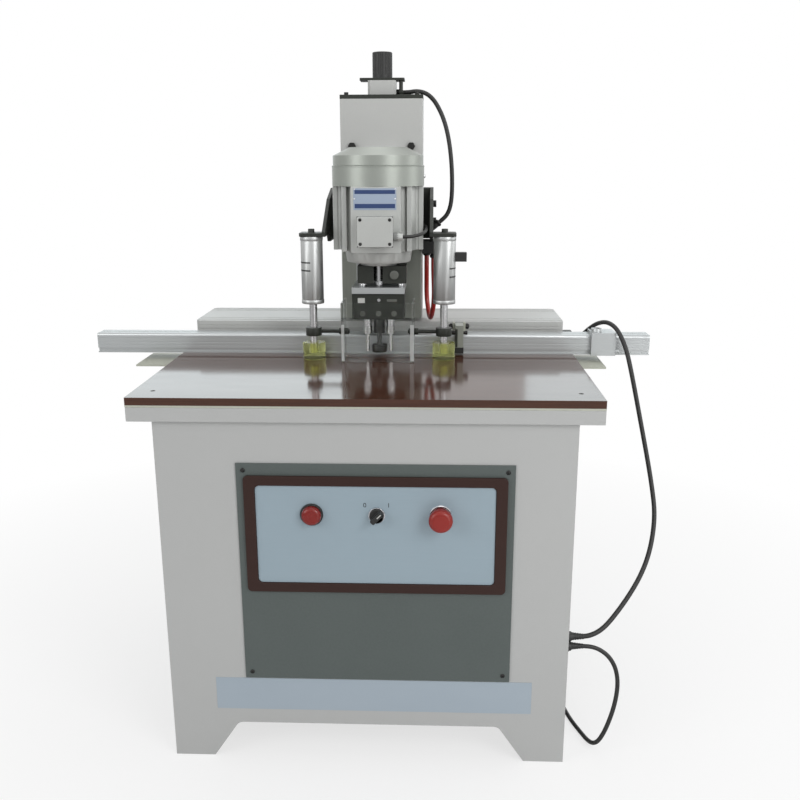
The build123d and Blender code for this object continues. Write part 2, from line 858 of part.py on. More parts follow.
def gearbox():
    """Gearbox cup, the bracket plate that closes it, and the bearings of the head."""
    front = spindle_y - gearbox_front
    back = front + gearbox_d
    half = gearbox_w / 2
    wall = gearbox_wall
    floor_z = gearbox_z + gearbox_floor
    cup = block(-half, half, front, back, gearbox_z, bracket_z)
    cup = chamfer(cup.edges().filter_by(Axis.Z), gearbox_chamfer)
    cup -= block(-half + wall, half - wall, front + wall, back - wall, floor_z, bracket_z)
    plate = block(-half, half, front - bracket_lip, carriage_y, bracket_z, bracket_top)
    plate += block(-half, half, carriage_y - bracket_flange_t, carriage_y,
                   bracket_top, bracket_top + bracket_flange_h)
    places = ((0, spindle_y, centre_shaft_d), (-dowel_pitch / 2, side_spindle_y, side_shaft_d),
              (dowel_pitch / 2, side_spindle_y, side_shaft_d))
    bearings = []
    for x, y, shaft_d in places:
        lower = post(x, y, floor_z - bearing_w, floor_z, bearing_d / 2)
        upper = post(x, y, bracket_z, bracket_z + bearing_w, bearing_d / 2)
        cup -= lower
        cup -= post(x, y, gearbox_z, floor_z, shaft_d / 2 + loose_gap)
        plate -= upper
        for ring in (lower, upper):
            bearings.append(ring - post(x, y, gearbox_z, bracket_top, shaft_d / 2 + shaft_gap))
    plate -= post(0, spindle_y, bracket_z, bracket_top, centre_shaft_d / 2 + loose_gap)
    save("gearbox_housing", cup)
    save("head_bracket", plate)
    for z in (frame_z, cover_z):
        ring = post(0, spindle_y, z - motor_bearing_w, z, motor_bearing_d / 2)
        bearings.append(ring - post(0, spindle_y, flange_z, cover_z, motor_shaft_d / 2 + shaft_gap))
    save("spindle_bearings", *bearings)


def spindles():
    """Centre spindle with its coupling, the two geared side spindles and their bits."""
    nose_top = gearbox_z - loose_gap
    nose_z = nose_top - nose_l
    socket_top = nose_z + nose_l / 2
    shaft = post(0, spindle_y, nose_top, coupling_mid - loose_gap, centre_shaft_d / 2)
    shaft += about(0, spindle_y, 0, gear(0))
    shaft += post(0, spindle_y, nose_z, nose_top, nose_d / 2)
    shaft -= post(0, spindle_y, nose_z, socket_top, shank_d / 2)
    sleeve = post(0, spindle_y, housing_z + coupling_end_gap, spigot_z - coupling_end_gap, coupling_d / 2)
    sleeve -= post(0, spindle_y, housing_z, coupling_mid, centre_shaft_d / 2)
    sleeve -= post(0, spindle_y, coupling_mid, spigot_z, motor_shaft_d / 2)
    save("centre_spindle", shaft, sleeve)

    for node, side in (("left_spindle", -1), ("right_spindle", 1)):
        x = side * dowel_pitch / 2
        mesh = atan2(side_spindle_y - spindle_y, x)
        phase = 2 * mesh + pi + pi / gear_teeth
        spindle = post(x, side_spindle_y, nose_top, bracket_z + bearing_w, side_shaft_d / 2)
        spindle += about(x, side_spindle_y, 0, gear(phase))
        spindle += post(x, side_spindle_y, nose_z, nose_top, side_nose_d / 2)
        point_z = tip_z + brad_h
        bit = post(x, side_spindle_y, point_z, nose_z, dowel_d / 2)
        bit += post(x, side_spindle_y, tip_z, point_z, point_d / 2, dowel_d / 2)
        save(node, spindle, bit)

    cutter_top = tip_z + cutter_h
    cutter = post(0, spindle_y, tip_z, cutter_top, cup_d / 2)
    gullet = block(cup_d / 8, cup_d, -cup_d / 6, cup_d / 6, tip_z, cutter_top)
    for angle in (0, 180):
        cutter -= about(0, spindle_y, angle, gullet)
    cutter += post(0, spindle_y, tip_z - brad_h, tip_z, point_d / 2, brad_d / 2)
    cutter += post(0, spindle_y, cutter_top, cutter_top + cutter_neck_h, shank_d * 0.8, shank_d / 2)
    save("hinge_bit", cutter + post(0, spindle_y, cutter_top, socket_top, shank_d / 2))


def motor():
    """Coupling housing and the motor: flange, finned frame with stator, rotor with fan."""
    front = spindle_y - housing_front
    right = housing_shift + housing_w / 2
    housing = block(right - housing_w, right, front, front + housing_d, housing_z, spigot_z)
    housing = chamfer(housing.edges().filter_by(Axis.Z), housing_chamfer)
    housing -= post(0, spindle_y, housing_z, spigot_z, housing_bore_d / 2)
    housing -= block(-housing_slot_w / 2, housing_slot_w / 2, front, spindle_y, housing_z, spigot_z)
    screw_x = right - housing_screw_inset
    housing += bar_y(front - housing_screw_h, front, screw_x, coupling_mid, housing_screw_d / 2)
    save("coupling_housing", housing)

    shaft_r = motor_shaft_d / 2
    bearing_r = motor_bearing_d / 2
    flange = post(0, spindle_y, flange_z, frame_z, flange_low_d / 2, flange_d / 2)
    flange += post(0, spindle_y, spigot_z, flange_z, spigot_d / 2)
    flange -= post(0, spindle_y, spigot_z, flange_z, housing_bore_d / 2)
    flange -= post(0, spindle_y, flange_z, frame_z, shaft_r + hole_gap)
    save("motor_flange", flange - post(0, spindle_y, frame_z - motor_bearing_w, frame_z, bearing_r))

    frame = post(0, spindle_y, frame_z, cover_z, motor_core_d / 2)
    frame += block(-motor_pad_w / 2, motor_pad_w / 2, motor_pad_y, spindle_y, frame_z, cover_z)
    half_t = fin_t / 2
    for fin_x in fin_xs:
        rise = sqrt((motor_d / 2) ** 2 - (fin_x + half_t) ** 2)
        for x in (-fin_x, fin_x):
            frame += block(x - half_t, x + half_t, spindle_y - rise, spindle_y + rise, frame_z, cover_z)
    web_x = max(fin_xs)
    frame += block(-web_x, web_x, spindle_y - fin_web / 2, spindle_y + fin_web / 2, frame_z, cover_z)
    frame -= post(0, spindle_y, frame_z, cover_z - top_web_t, motor_bore_d / 2)
    frame -= post(0, spindle_y, frame_z, cover_z, shaft_r + hole_gap)
    frame -= post(0, spindle_y, cover_z - motor_bearing_w, cover_z, bearing_r)
    core_z = frame_z + (motor_frame_h - top_web_t - rotor_l) / 2
    core_top = core_z + rotor_l
    stator = post(0, spindle_y, core_z, core_top, motor_bore_d / 2)
    stator -= post(0, spindle_y, core_z, core_top, rotor_d / 2 + air_gap)
    save("motor_frame", frame, stator)

    fan_z = cover_z + fan_gap
    fan_top = fan_z + fan_h
    shaft = post(0, spindle_y, coupling_mid, fan_top, shaft_r)
    shaft += post(0, spindle_y, core_z, core_top, rotor_d / 2)
    fan = post(0, spindle_y, fan_z, fan_top, shaft_r + fan_hub_wall)
    fan += post(0, spindle_y, fan_z, fan_z + fan_blade_t, fan_d / 2)
    half_t = fan_blade_t / 2
    blade = block(shaft_r + fan_hub_wall / 2, fan_d / 2, -half_t, half_t, fan_z, fan_top)
    for k in range(fan_blades):
        fan += about(0, spindle_y, 360 * k / fan_blades, blade)
    save("motor_rotor", shaft, fan - post(0, spindle_y, fan_z, fan_top, shaft_r))


def motor_covers():
    """Fan cover with its air slots, and the terminal box with both glands of the motor's lead."""
    band_r = motor_d / 2
    neck_r = band_r - cover_step
    top_r = cover_top_d / 2
    wall = cover_wall
    band_z = cover_z + cover_band_h
    neck_z = band_z + cover_straight_h
    crown_z = cover_z + cover_h
    skin = [(band_r - wall, cover_z), (band_r, cover_z), (band_r, band_z), (neck_r, band_z + cover_step),
            (neck_r, neck_z), (top_r, crown_z), (0, crown_z), (0, crown_z - wall),
            (top_r - wall / 2, crown_z - wall), (neck_r - wall, neck_z - wall / 2),
            (neck_r - wall, band_z), (band_r - wall, band_z - wall)]
    cover = about(0, spindle_y, 0, revolve(make_face(Plane.XZ * Polyline(*skin, close=True)), Axis.Z))
    slit = block(top_r / 3, top_r * 0.9, -cover_slot_w / 2, cover_slot_w / 2, crown_z - wall, crown_z)
    for k in range(cover_slots):
        cover -= about(0, spindle_y, 360 * k / cover_slots, slit)
    save("fan_cover", cover)

    half = terminal_w / 2
    wall = terminal_wall
    lid_y = motor_pad_y - terminal_d
    top = terminal_box_z + terminal_h
    mid_z = terminal_box_z + terminal_h / 2
    box = plate_xz(terminal_w, terminal_h, 0, mid_z, lid_y, motor_pad_y, terminal_r)
    box -= block(-half + wall, half - wall, lid_y, motor_pad_y - wall, terminal_box_z + wall, top - wall)
    lid = plate_xz(terminal_w, terminal_h, 0, mid_z, lid_y - terminal_lid_t, lid_y, terminal_r)
    gland_r = terminal_gland_d / 2
    gland = bar_x(half, half + terminal_gland_l, lead_y, lead_z, gland_r)
    far_gland = bar_y(carriage_y - lead_gland_l, carriage_y, lead_gland_x, lead_z + lead_rise, gland_r)
    save("terminal_box", box, lid, gland, far_gland)


def clamps():
    """Arms, clamp cylinders, and the hold-downs: rods, pads, collars with guard rods, guard."""
    nose_y = clamp_y - arm_front
    elbow_y = column_y - arm_elbow
    heel_y = column_y + arm_back
    arm_top = arm_foot + arm_h
    side_view = [(nose_y, arm_z), (nose_y, arm_z + arm_nose_h), (elbow_y, arm_foot + arm_elbow_h),
                 (column_y, arm_top), (heel_y, arm_top), (heel_y, arm_foot),
                 (elbow_y, arm_foot), (elbow_y - arm_drop, arm_z)]
    arm = Pos(arm_x, 0, 0) * prism(side_view, Plane.YZ, arm_t)
    shelf_top = arm_z + arm_plate_t
    shelf = block(arm_x, clamp_x + arm_plate_d / 2, nose_y, nose_y + arm_plate_d, arm_z, shelf_top)
    arm += fillet(shelf.edges().filter_by(Axis.Z).group_by(Axis.X)[-1], arm_t)
    arm += block(column_half, arm_x, column_y, column_y + arm_spacer, arm_foot, arm_top)
    arm += post(clamp_x, clamp_y, shelf_top, shelf_top + clamp_stud_h, clamp_stud_d / 2)
    save("left_clamp_arm", flip(arm))
    save("right_clamp_arm", arm)

    rod_r = clamp_rod_d / 2
    bore_r = clamp_bore_d / 2
    barrel = post(clamp_x, clamp_y, clamp_z, arm_z, clamp_barrel_d / 2)
    barrel -= post(clamp_x, clamp_y, clamp_z + clamp_end_t, arm_z - clamp_end_t, bore_r)
    barrel -= post(clamp_x, clamp_y, clamp_z, clamp_z + clamp_end_t, rod_r + shaft_gap)
    piston_z = clamp_z + clamp_end_t + piston_rest
    rod = post(clamp_x, clamp_y, top_z + pad_floor, piston_z + clamp_piston_t, rod_r)
    rod += post(clamp_x, clamp_y, piston_z, piston_z + clamp_piston_t, bore_r - piston_gap)
    pad = post(clamp_x, clamp_y, top_z, top_z + pad_h, pad_d / 2)
    pad -= post(clamp_x, clamp_y, top_z + pad_floor, top_z + pad_h, rod_r)
    half = guard_w / 2
    inside = half - guard_wall
    nut_x = inside - guard_nut_l
    nut_r = guard_nut_d / 2
    collar = post(clamp_x, clamp_y, collar_z, collar_z + collar_h, collar_d / 2)
    collar += bar_x(nut_x - guard_rod_end, clamp_x - collar_d / 4, clamp_y, guard_rod_z, guard_rod_d / 2)
    collar += bar_x(nut_x, inside, clamp_y, guard_rod_z, nut_r)
    collar += bar_x(half, half + guard_nut_l, clamp_y, guard_rod_z, nut_r)
    collar -= post(clamp_x, clamp_y, collar_z, collar_z + collar_h, rod_r)
    save("clamp_cylinders", flip(barrel), barrel)
    save("clamp_rods", flip(rod), rod)
    save("clamp_pads", flip(pad), pad)
    save("rod_collars", flip(collar), collar)

    guard_z = top_z + guard_clear
    guard = block(-half, half, guard_front, guard_back, guard_z, guard_z + guard_h)
    guard -= block(-inside, inside, guard_front + guard_wall, guard_back, guard_z, guard_z + guard_h)
    save("guard", guard - bar_x(-half, half, clamp_y, guard_rod_z, guard_rod_d / 2))


def fence():
    """Hollow fence profile, its brackets and the ears of the flip stop."""
    left = fence_shift - fence_l / 2
    right = fence_shift + fence_l / 2
    wall = fence_wall
    groove_z = top_z + fence_lip_h
    groove_top = groove_z + fence_groove_h
    bar = block(left, right, fence_y, fence_back, top_z, fence_top)
    bar = fillet(bar.edges().filter_by(Axis.X).group_by(Axis.Z)[-1], fence_round)
    bar -= block(left, right, fence_y, fence_y + fence_groove_depth, groove_z, groove_top)
    bar -= block(left, right, fence_y + wall, fence_back - wall, groove_top + wall, fence_top - wall)
    save("fence", bar)

    pieces = []
    half = fence_bracket_w / 2
    z = top_z + fence_bracket_z
    for x in (-fence_bracket_x, fence_bracket_x):
        pieces.append(block(x - half, x + half, fence_back, beam_y, z, z + fence_bracket_h))
    pivot_z = fence_top + flip_pivot_h
    half = flip_ear_half
    for x in (flip_x - flip_w / 2 - loose_gap - flip_ear_t, flip_x + flip_w / 2 + loose_gap):
        ear = block(x, x + flip_ear_t, fence_mid - half, fence_mid + half, fence_top, pivot_z + half)
        pieces.append(ear - bar_x(x, x + flip_ear_t, fence_mid, pivot_z, flip_pin_d / 2 + shaft_gap))
    save("fence_brackets", *pieces)


def fence_stops():
    """Flip stop on its pin, and the sliding stop block with its clamp knob."""
    pivot_z = fence_top + flip_pivot_h
    x0 = flip_x - flip_w / 2
    x1 = flip_x + flip_w / 2
    blade_y = fence_y - loose_gap - flip_t
    arm_r = flip_arm_h / 2
    pin_over = loose_gap + flip_ear_t + flip_pin_over
    stop = block(x0, x1, blade_y, fence_mid, pivot_z - arm_r, pivot_z + arm_r)
    stop += bar_x(x0, x1, fence_mid, pivot_z, arm_r)
    stop += block(x0, x1, blade_y, blade_y + flip_t, top_z + flip_tip_clear, pivot_z + arm_r)
    save("flip_stop", stop + bar_x(x0 - pin_over, x1 + pin_over, fence_mid, pivot_z, flip_pin_d / 2))

    x0 = stop_x - stop_w / 2
    x1 = stop_x + stop_w / 2
    plate_back = fence_y - stop_gap
    front = plate_back - stop_t
    bridge_z = fence_top + stop_gap
    roof_z = bridge_z + stop_bridge_t
    groove_z = top_z + fence_lip_h
    saddle = block(x0, x1, front, fence_back, bridge_z, roof_z)
    rear_edge = saddle.edges().filter_by(Axis.X).group_by(Axis.Z)[-1].sort_by(Axis.Y)[-1]
    saddle = chamfer(rear_edge, stop_bevel)
    saddle += block(x0, x1, front, plate_back, top_z + stop_gap, roof_z)
    saddle += block(x0, x1, plate_back, fence_y + stop_tongue_depth, groove_z + loose_gap,
                    groove_z + fence_groove_h - loose_gap)
    saddle += post(x0 + stop_knob_inset, fence_y + stop_knob_y, roof_z, roof_z + stop_knob_h, stop_knob_d / 2)
    saddle += bar_x(x1, x1 + stop_screw_l, front + stop_t / 2, top_z + stop_screw_z, stop_screw_d / 2)
    save("stop_block", saddle)


def tube(node, points, d):
    """Round cord along straight runs and arcs as large as the runs allow; prints its radii."""
    corners = [Vector(*p) for p in points]
    radii = []
    for before, at, after in zip(corners, corners[1:], corners[2:]):
        turn = radians((at - before).get_angle(after - at))
        run = min((at - before).length, (after - at).length)
        radii.append(arc_share * run / tan(turn / 2))
    path = FilletPolyline(*corners, radius=radii)
    solid = sweep(Plane(corners[0], z_dir=corners[1] - corners[0]) * Circle(d / 2), path=path)
    share = solid.volume / (pi * d * d / 4 * path.length)
    print(f"{node}: length {path.length:.0f}, volume share {share:.4f}, radii", *(round(r) for r in radii))
    save(node, solid)


def glands():
    """Two glands on the cabinet's side, and the cable box on the end of the rear beam."""
    pieces = []
    nut_x = cabinet_right + gland_nut_l
    for z, cord_d in ((gland_upper_z, cable_d), (gland_lower_z, mains_d)):
        gland = bar_x(cabinet_right - gland_stem_l, cabinet_right, gland_y, z, gland_stem_d / 2)
        gland += bar_x(cabinet_right, nut_x, gland_y, z, gland_nut_d / 2)
        pieces.append(gland + bar_x(nut_x, gland_x, gland_y, z, gland_stem_d / 2, cord_d / 2 + hole_gap))
    y = beam_y + beam_box_y
    z = board_z + beam_box_z
    box = block(beam_right, beam_right + beam_box_w, y, y + beam_box_d, z, z + beam_box_h)
    mouth = (beam_right + beam_box_w / 2, y - gland_nut_l, z + beam_box_h / 2)
    box += bar_y(y - gland_nut_l, y, mouth[0], mouth[2], gland_stem_d / 2)
    save("cable_glands", *pieces, box)
    return mouth


def air_lines():
    """Valve under the right arm, fittings, the hose to the feed cylinder and the red hose loop."""
    arm_out = arm_x + arm_t
    valve_right = arm_out + valve_out
    valve_foot = arm_foot - valve_h
    valve = block(valve_right - valve_w, valve_right, valve_y, valve_y + valve_d, valve_foot, arm_foot)
    port_ys = (valve_y + red_port_inset, valve_y + valve_d - red_port_inset)
    port_z = valve_foot - port_l
    for x, y in zip(red_port_xs, port_ys):
        valve += post(x, y, port_z, valve_foot, port_d / 2)
    half = feed_head_w / 2
    start_x = half + head_port_l
    start_z = head_z + head_port_z
    head_port = bar_x(half, start_x, feed_y, start_z, port_d / 2)
    elbow_x = clamp_x + clamp_barrel_d / 2
    elbow_z = arm_z - elbow_below_arm
    elbow = block(clamp_x, elbow_x + elbow_l, clamp_y - elbow_w / 2, clamp_y + elbow_w / 2,
                  elbow_z - elbow_h / 2, elbow_z + elbow_h / 2)
    elbow -= post(clamp_x, clamp_y, clamp_z, arm_z, clamp_barrel_d / 2)
    slope = radians(hose_fitting_slope)
    out = Vector(cos(slope), 0, sin(slope))
    root = Vector(arm_out, hose_fitting_y, hose_fitting_z)
    fitting = extrude(Plane(root - out * port_d, z_dir=out) * Circle(port_d / 2), port_d + hose_fitting_l)
    fitting -= block(arm_x - port_d, arm_out, hose_fitting_y - port_d, hose_fitting_y + port_d,
                     hose_fitting_z - 2 * port_d, hose_fitting_z + port_d)
    save("air_valve", valve, head_port, elbow, fitting)

    mouth = root + out * hose_fitting_l
    before = mouth + out * hose_last_run
    tube("top_air_hose",
         [(start_x, feed_y, start_z), (60, feed_y, start_z), (80, 582, 1364), (101, 576, 1359),
          (118, 569, 1345), (132, 563, 1323), (144, 558, 1296), (153, 555, 1263), (159, 553, 1226),
          (162.5, 551.5, 1187), (163.5, 550.5, 1150), (162.5, 550, 1121), (159, 550, 1100),
          (152.5, 550, 1085), before, mouth], hose_d)
    front_x, back_x = red_port_xs
    front_y, back_y = port_ys
    low_x = front_x + red_loop_lean
    mid_y = valve_y + valve_d / 2
    near_y = mid_y - red_loop_r
    far_y = mid_y + red_loop_r
    loop_z = column_z + red_loop_clear + red_hose_d / 2 + red_loop_r
    reach = red_loop_r / cos(pi / red_loop_turns / 2)
    loop = []
    for k in range(red_loop_turns):
        share = (k + 0.5) / red_loop_turns
        loop.append((low_x + share * (back_x - low_x), mid_y - reach * cos(pi * share),
                     loop_z - reach * sin(pi * share)))
    front_leg = []
    back_leg = []
    for k in range(red_leg_steps):
        ease = (1 - cos(pi * max(k - 1, 0) / (red_leg_steps - 2))) / 2
        z = port_z - k / red_leg_steps * (port_z - loop_z)
        front_leg.append((front_x + ease * red_loop_lean, front_y + ease * (near_y - front_y), z))
        back_leg.append((back_x, back_y + ease * (far_y - back_y), z))
    tube("red_air_hose", [*front_leg, *loop, *back_leg[::-1]], red_hose_d)


def cables(box_mouth):
    """Cable from the beam to the cabinet, and the motor's lead on the head."""
    x, y, z = box_mouth
    tube("control_cable",
         [box_mouth, (x, y - 16, z), (x + 4, y - 32, z + 3), (x + 14, y - 48, z + 12), (474, 486, 812),
          (487, 468, 831), (501, 447, 846), (516, 420, 853), (532, 400, 844), (545, 386, 821),
          (555, 373, 792), (563, 360, 755), (572, 347, 710), (582, 335, 660), (592, 320, 608),
          (601, 303, 558), (608, 280, 507), (611, 254, 462), (604, 226, 421), (589, 194, 382),
          (567, 162, 350), (538, 128, 322), (507, 97, 297), (483, 75, 280.5), (466, 66, 270.5),
          (450, 61.5, 264.5), (436, gland_y, gland_upper_z), (gland_x, gland_y, gland_upper_z)], cable_d)
    z = lead_z
    start_x = terminal_w / 2 + terminal_gland_l
    end_z = lead_z + lead_rise
    tube("motor_lead",
         [(start_x, lead_y, z), (70, lead_y, z), (84, 281, z + 2), (95, 293, z + 4.5), (102, 311, z + 7),
          (104.5, 335, z + 9), (105, 361, z + 10), (105.2, 387, z + 11), (105, 410, end_z),
          (101.5, 424, end_z), (95, 438, end_z), (88, 451, end_z), (lead_gland_x, 464, end_z),
          (lead_gland_x, carriage_y - lead_gland_l, end_z)], lead_d)


def mains():
    """Mains lead from its gland over the floor to a coil behind the cabinet, and its plug."""
    floor = mains_d / 2
    step = mains_d + coil_gap
    outer_r = coil_inner_r + coil_spiral * step / 2
    coil_y = cabinet_back + coil_clear
    tube("mains_lead",
         [(gland_x, gland_y, gland_lower_z), (438, gland_y, gland_lower_z), (456, 60, 238), (474, 59, 230),
          (490, 57, 216), (502, 55, 195), (508, 52, 168), (507, 48, 138), (501, 43, 107), (492, 39, 77),
          (482, 38, 49), (473, 44, 26), (465, 58, 11), (457, 80, floor), (447, 108, floor), (436, 140, floor),
          (427, 176, floor), (421, 216, floor), (417, 262, floor), (415, 312, floor), (414, 365, floor),
          (415, 420, floor), (418, 475, floor), (422, 530, floor), (426, 582, floor), (427, 626, floor),
          (422, 658, floor), (409, 682, floor), (387, 694, floor), (360, coil_y, floor),
          (330, coil_y + 1, floor), (308, coil_y, floor), (coil_x, coil_y, floor)], mains_d)

    turns = [outer_r - k * step / 2 for k in range(coil_spiral)]
    turns = turns + [coil_inner_r] + turns[::-1]
    edge = Vector(coil_x, coil_y, floor)
    way = 1
    curves = []
    for k, r in enumerate(turns):
        rise = step if k == coil_spiral else 0
        far = edge + Vector(0, way * 2 * r, rise)
        middle = (edge + far) * 0.5 - Vector(way * hypot(r, rise / 2), 0, 0)
        curves.append(ThreePointArc(edge, middle, far).edge())
        edge = far
        way = -way
    end = edge - Vector(way * coil_tail, 0, 0)
    wire = Wire(curves + [Line(edge, end).edge()])
    solid = sweep(Plane((coil_x, coil_y, floor), z_dir=(-1, 0, 0)) * Circle(floor), path=wire)
    share = solid.volume / (pi * floor * floor * wire.length)
    print(f"mains_lead_coil: length {wire.length:.0f}, volume share {share:.4f},",
          f"least gap {least_gap(wire):.2f}")
    save("mains_lead_coil", solid)

    body = block(end.X, end.X + plug_l, end.Y - plug_w / 2, end.Y + plug_w / 2, 0, 2 * end.Z)
    body = fillet(body.edges().filter_by(Axis.X), plug_r)
    pin_x = end.X + plug_l
    for y in (end.Y - plug_pin_x, end.Y + plug_pin_x):
        body += block(pin_x, pin_x + plug_pin_l, y - plug_pin_t / 2, y + plug_pin_t / 2,
                      end.Z - plug_pin_w / 2, end.Z + plug_pin_w / 2)
    save("mains_plug", body)


def least_gap(wire):
    """Smallest gap between stretches of the coil that lie over half a turn apart along it."""
    samples = 500
    points = [wire.position_at(k / samples) for k in range(samples + 1)]
    apart = int(pi * coil_inner_r / (wire.length / samples))
    return min((q - p).length for i, p in enumerate(points) for q in points[i + apart:]) - mains_d


os.makedirs("parts", exist_ok=True)
cabinet()
table()
control_panel()
controls()
beam_and_column()
feed_drive()
carriage()
gearbox()
spindles()
motor()
motor_covers()
clamps()
fence()
fence_stops()
air_lines()
cables(glands())
mains()
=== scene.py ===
"""Looks of the hinge boring machine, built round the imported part.

Pieces are drawn in the machine's own millimetres, as in the part's source: X right with 0 on the
spindle, Y back with 0 at the table's front edge, Z up. at() turns them into metres of the part's frame.
"""
from math import cos, pi, radians, sin

import bpy
from mathutils import Matrix, Vector


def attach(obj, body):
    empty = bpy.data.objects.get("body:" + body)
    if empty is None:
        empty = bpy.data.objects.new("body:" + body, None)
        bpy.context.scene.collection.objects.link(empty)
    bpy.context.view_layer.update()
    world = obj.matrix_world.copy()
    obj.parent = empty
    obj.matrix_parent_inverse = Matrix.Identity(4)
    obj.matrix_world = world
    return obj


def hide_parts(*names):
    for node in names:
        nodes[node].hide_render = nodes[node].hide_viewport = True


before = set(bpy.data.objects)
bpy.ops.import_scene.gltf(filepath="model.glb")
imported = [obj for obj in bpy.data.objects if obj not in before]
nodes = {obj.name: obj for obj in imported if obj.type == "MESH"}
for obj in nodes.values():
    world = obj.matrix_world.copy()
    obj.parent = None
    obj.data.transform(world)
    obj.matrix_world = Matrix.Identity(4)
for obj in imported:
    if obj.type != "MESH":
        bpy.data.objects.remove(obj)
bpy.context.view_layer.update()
scene = bpy.context.scene
scene.view_settings.view_transform = "Standard"

UP = Matrix()
FRONT = Matrix.Rotation(pi / 2, 4, "X")
RIGHT = Matrix.Rotation(pi / 2, 4, "Y")
LEFT = Matrix.Rotation(-pi / 2, 4, "Y")
DOWN = Matrix.Rotation(pi, 4, "X")

# Places that several pieces share, in millimetres of the drawing
ORIGIN_X, ORIGIN_Y = -22, 327
TABLE_Z = 778
GLAND_Y = 60
CONTROL_Z = 546
SELECTOR_X = 15
STOP_BUTTON_X = 138
MOTOR_Y = 389.5
HEAD_FACE_Y = 351
HOLD_DOWNS = ((-145, 360), (145, 360))
PIN_Y, PIN_Z = 437, 839
SET_SCREW_Y, SET_SCREW_Z = 405.5, 829


def at(x, y, z):
    """A place of the drawing, in millimetres, as a point of the part's frame in metres."""
    return Vector(((x - ORIGIN_X) / 1000, (y - ORIGIN_Y) / 1000, z / 1000))


# Camera and studio

def photo_camera():
    """Camera at the photograph's place: turned a little to the left and tilted down."""
    left, down, roll = 2.13, 14.844, -0.139
    eye = at(119.71, -1591.05, 1199.17)
    lens = bpy.data.cameras.new("photo_camera")
    lens.sensor_width = 36
    lens.lens = 39.976
    camera = bpy.data.objects.new("photo_camera", lens)
    aim = Matrix.Rotation(radians(left), 4, "Z") @ Matrix.Rotation(radians(90 - down), 4, "X")
    camera.matrix_world = Matrix.Translation(eye) @ aim @ Matrix.Rotation(radians(roll), 4, "Z")
    scene.collection.objects.link(camera)
    scene.camera = camera


def area_light(name, place, target, width, height, power, colour=(1, 1, 1)):
    """Rectangular lamp that shines from a place towards a target, both in metres."""
    lamp = bpy.data.lights.new(name, "AREA")
    lamp.shape = "RECTANGLE"
    lamp.size = width
    lamp.size_y = height
    lamp.energy = power
    lamp.color = colour
    light = bpy.data.objects.new(name, lamp)
    light.location = place
    light.rotation_euler = (Vector(target) - Vector(place)).to_track_quat("-Z", "Y").to_euler()
    light.visible_camera = False
    scene.collection.objects.link(light)


def studio_world():
    """White behind the object for the camera, glass and reflections; an even, dimmer room as light."""
    world = bpy.data.worlds.new("studio")
    world.use_nodes = True
    scene.world = world
    tree = world.node_tree
    tree.nodes.clear()
    output = tree.nodes.new("ShaderNodeOutputWorld")
    room = tree.nodes.new("ShaderNodeBackground")
    room.inputs["Color"].default_value = (0.34, 0.34, 0.34, 1)
    white = tree.nodes.new("ShaderNodeBackground")
    white.inputs["Color"].default_value = (1, 1, 1, 1)
    path = tree.nodes.new("ShaderNodeLightPath")
    seen = tree.nodes.new("ShaderNodeMath")
    seen.operation = "MAXIMUM"
    mirrored = tree.nodes.new("ShaderNodeMath")
    mirrored.operation = "MAXIMUM"
    mix = tree.nodes.new("ShaderNodeMixShader")
    tree.links.new(path.outputs["Is Camera Ray"], seen.inputs[0])
    tree.links.new(path.outputs["Is Transmission Ray"], seen.inputs[1])
    tree.links.new(seen.outputs[0], mirrored.inputs[0])
    tree.links.new(path.outputs["Is Glossy Ray"], mirrored.inputs[1])
    tree.links.new(mirrored.outputs[0], mix.inputs["Fac"])
    tree.links.new(room.outputs[0], mix.inputs[1])
    tree.links.new(white.outputs[0], mix.inputs[2])
    tree.links.new(mix.outputs[0], output.inputs["Surface"])


def studio_floor():
    """Pale floor that keeps the soft shadow near the object and fades to white away from it."""
    clear()
    bpy.ops.mesh.primitive_plane_add(size=40, location=(0, 0, -0.0004))
    floor = named("studio_floor")
    material = bpy.data.materials.new("floor_white")
    material.use_nodes = True
    tree = material.node_tree
    shader = tree.nodes["Principled BSDF"]
    shader.inputs["Base Color"].default_value = (0.9, 0.9, 0.9, 1)
    shader.inputs["Roughness"].default_value = 0.7
    glow = tree.nodes.new("ShaderNodeEmission")
    path = tree.nodes.new("ShaderNodeLightPath")
    coords = tree.nodes.new("ShaderNodeTexCoord")
    away = tree.nodes.new("ShaderNodeVectorMath")
    away.operation = "LENGTH"
    fade = tree.nodes.new("ShaderNodeMapRange")
    fade.inputs["From Min"].default_value = 0.5
    fade.inputs["From Max"].default_value = 1.9
    fade.inputs["To Min"].default_value = 0.7
    share = tree.nodes.new("ShaderNodeMath")
    share.operation = "MULTIPLY"
    mix = tree.nodes.new("ShaderNodeMixShader")
    tree.links.new(coords.outputs["Object"], away.inputs[0])
    tree.links.new(away.outputs["Value"], fade.inputs["Value"])
    tree.links.new(path.outputs["Is Camera Ray"], share.inputs[0])
    tree.links.new(fade.outputs["Result"], share.inputs[1])
    tree.links.new(share.outputs[0], mix.inputs["Fac"])
    tree.links.new(shader.outputs[0], mix.inputs[1])
    tree.links.new(glow.outputs[0], mix.inputs[2])
    tree.links.new(mix.outputs[0], tree.nodes["Material Output"].inputs["Surface"])
    floor.data.materials.append(material)


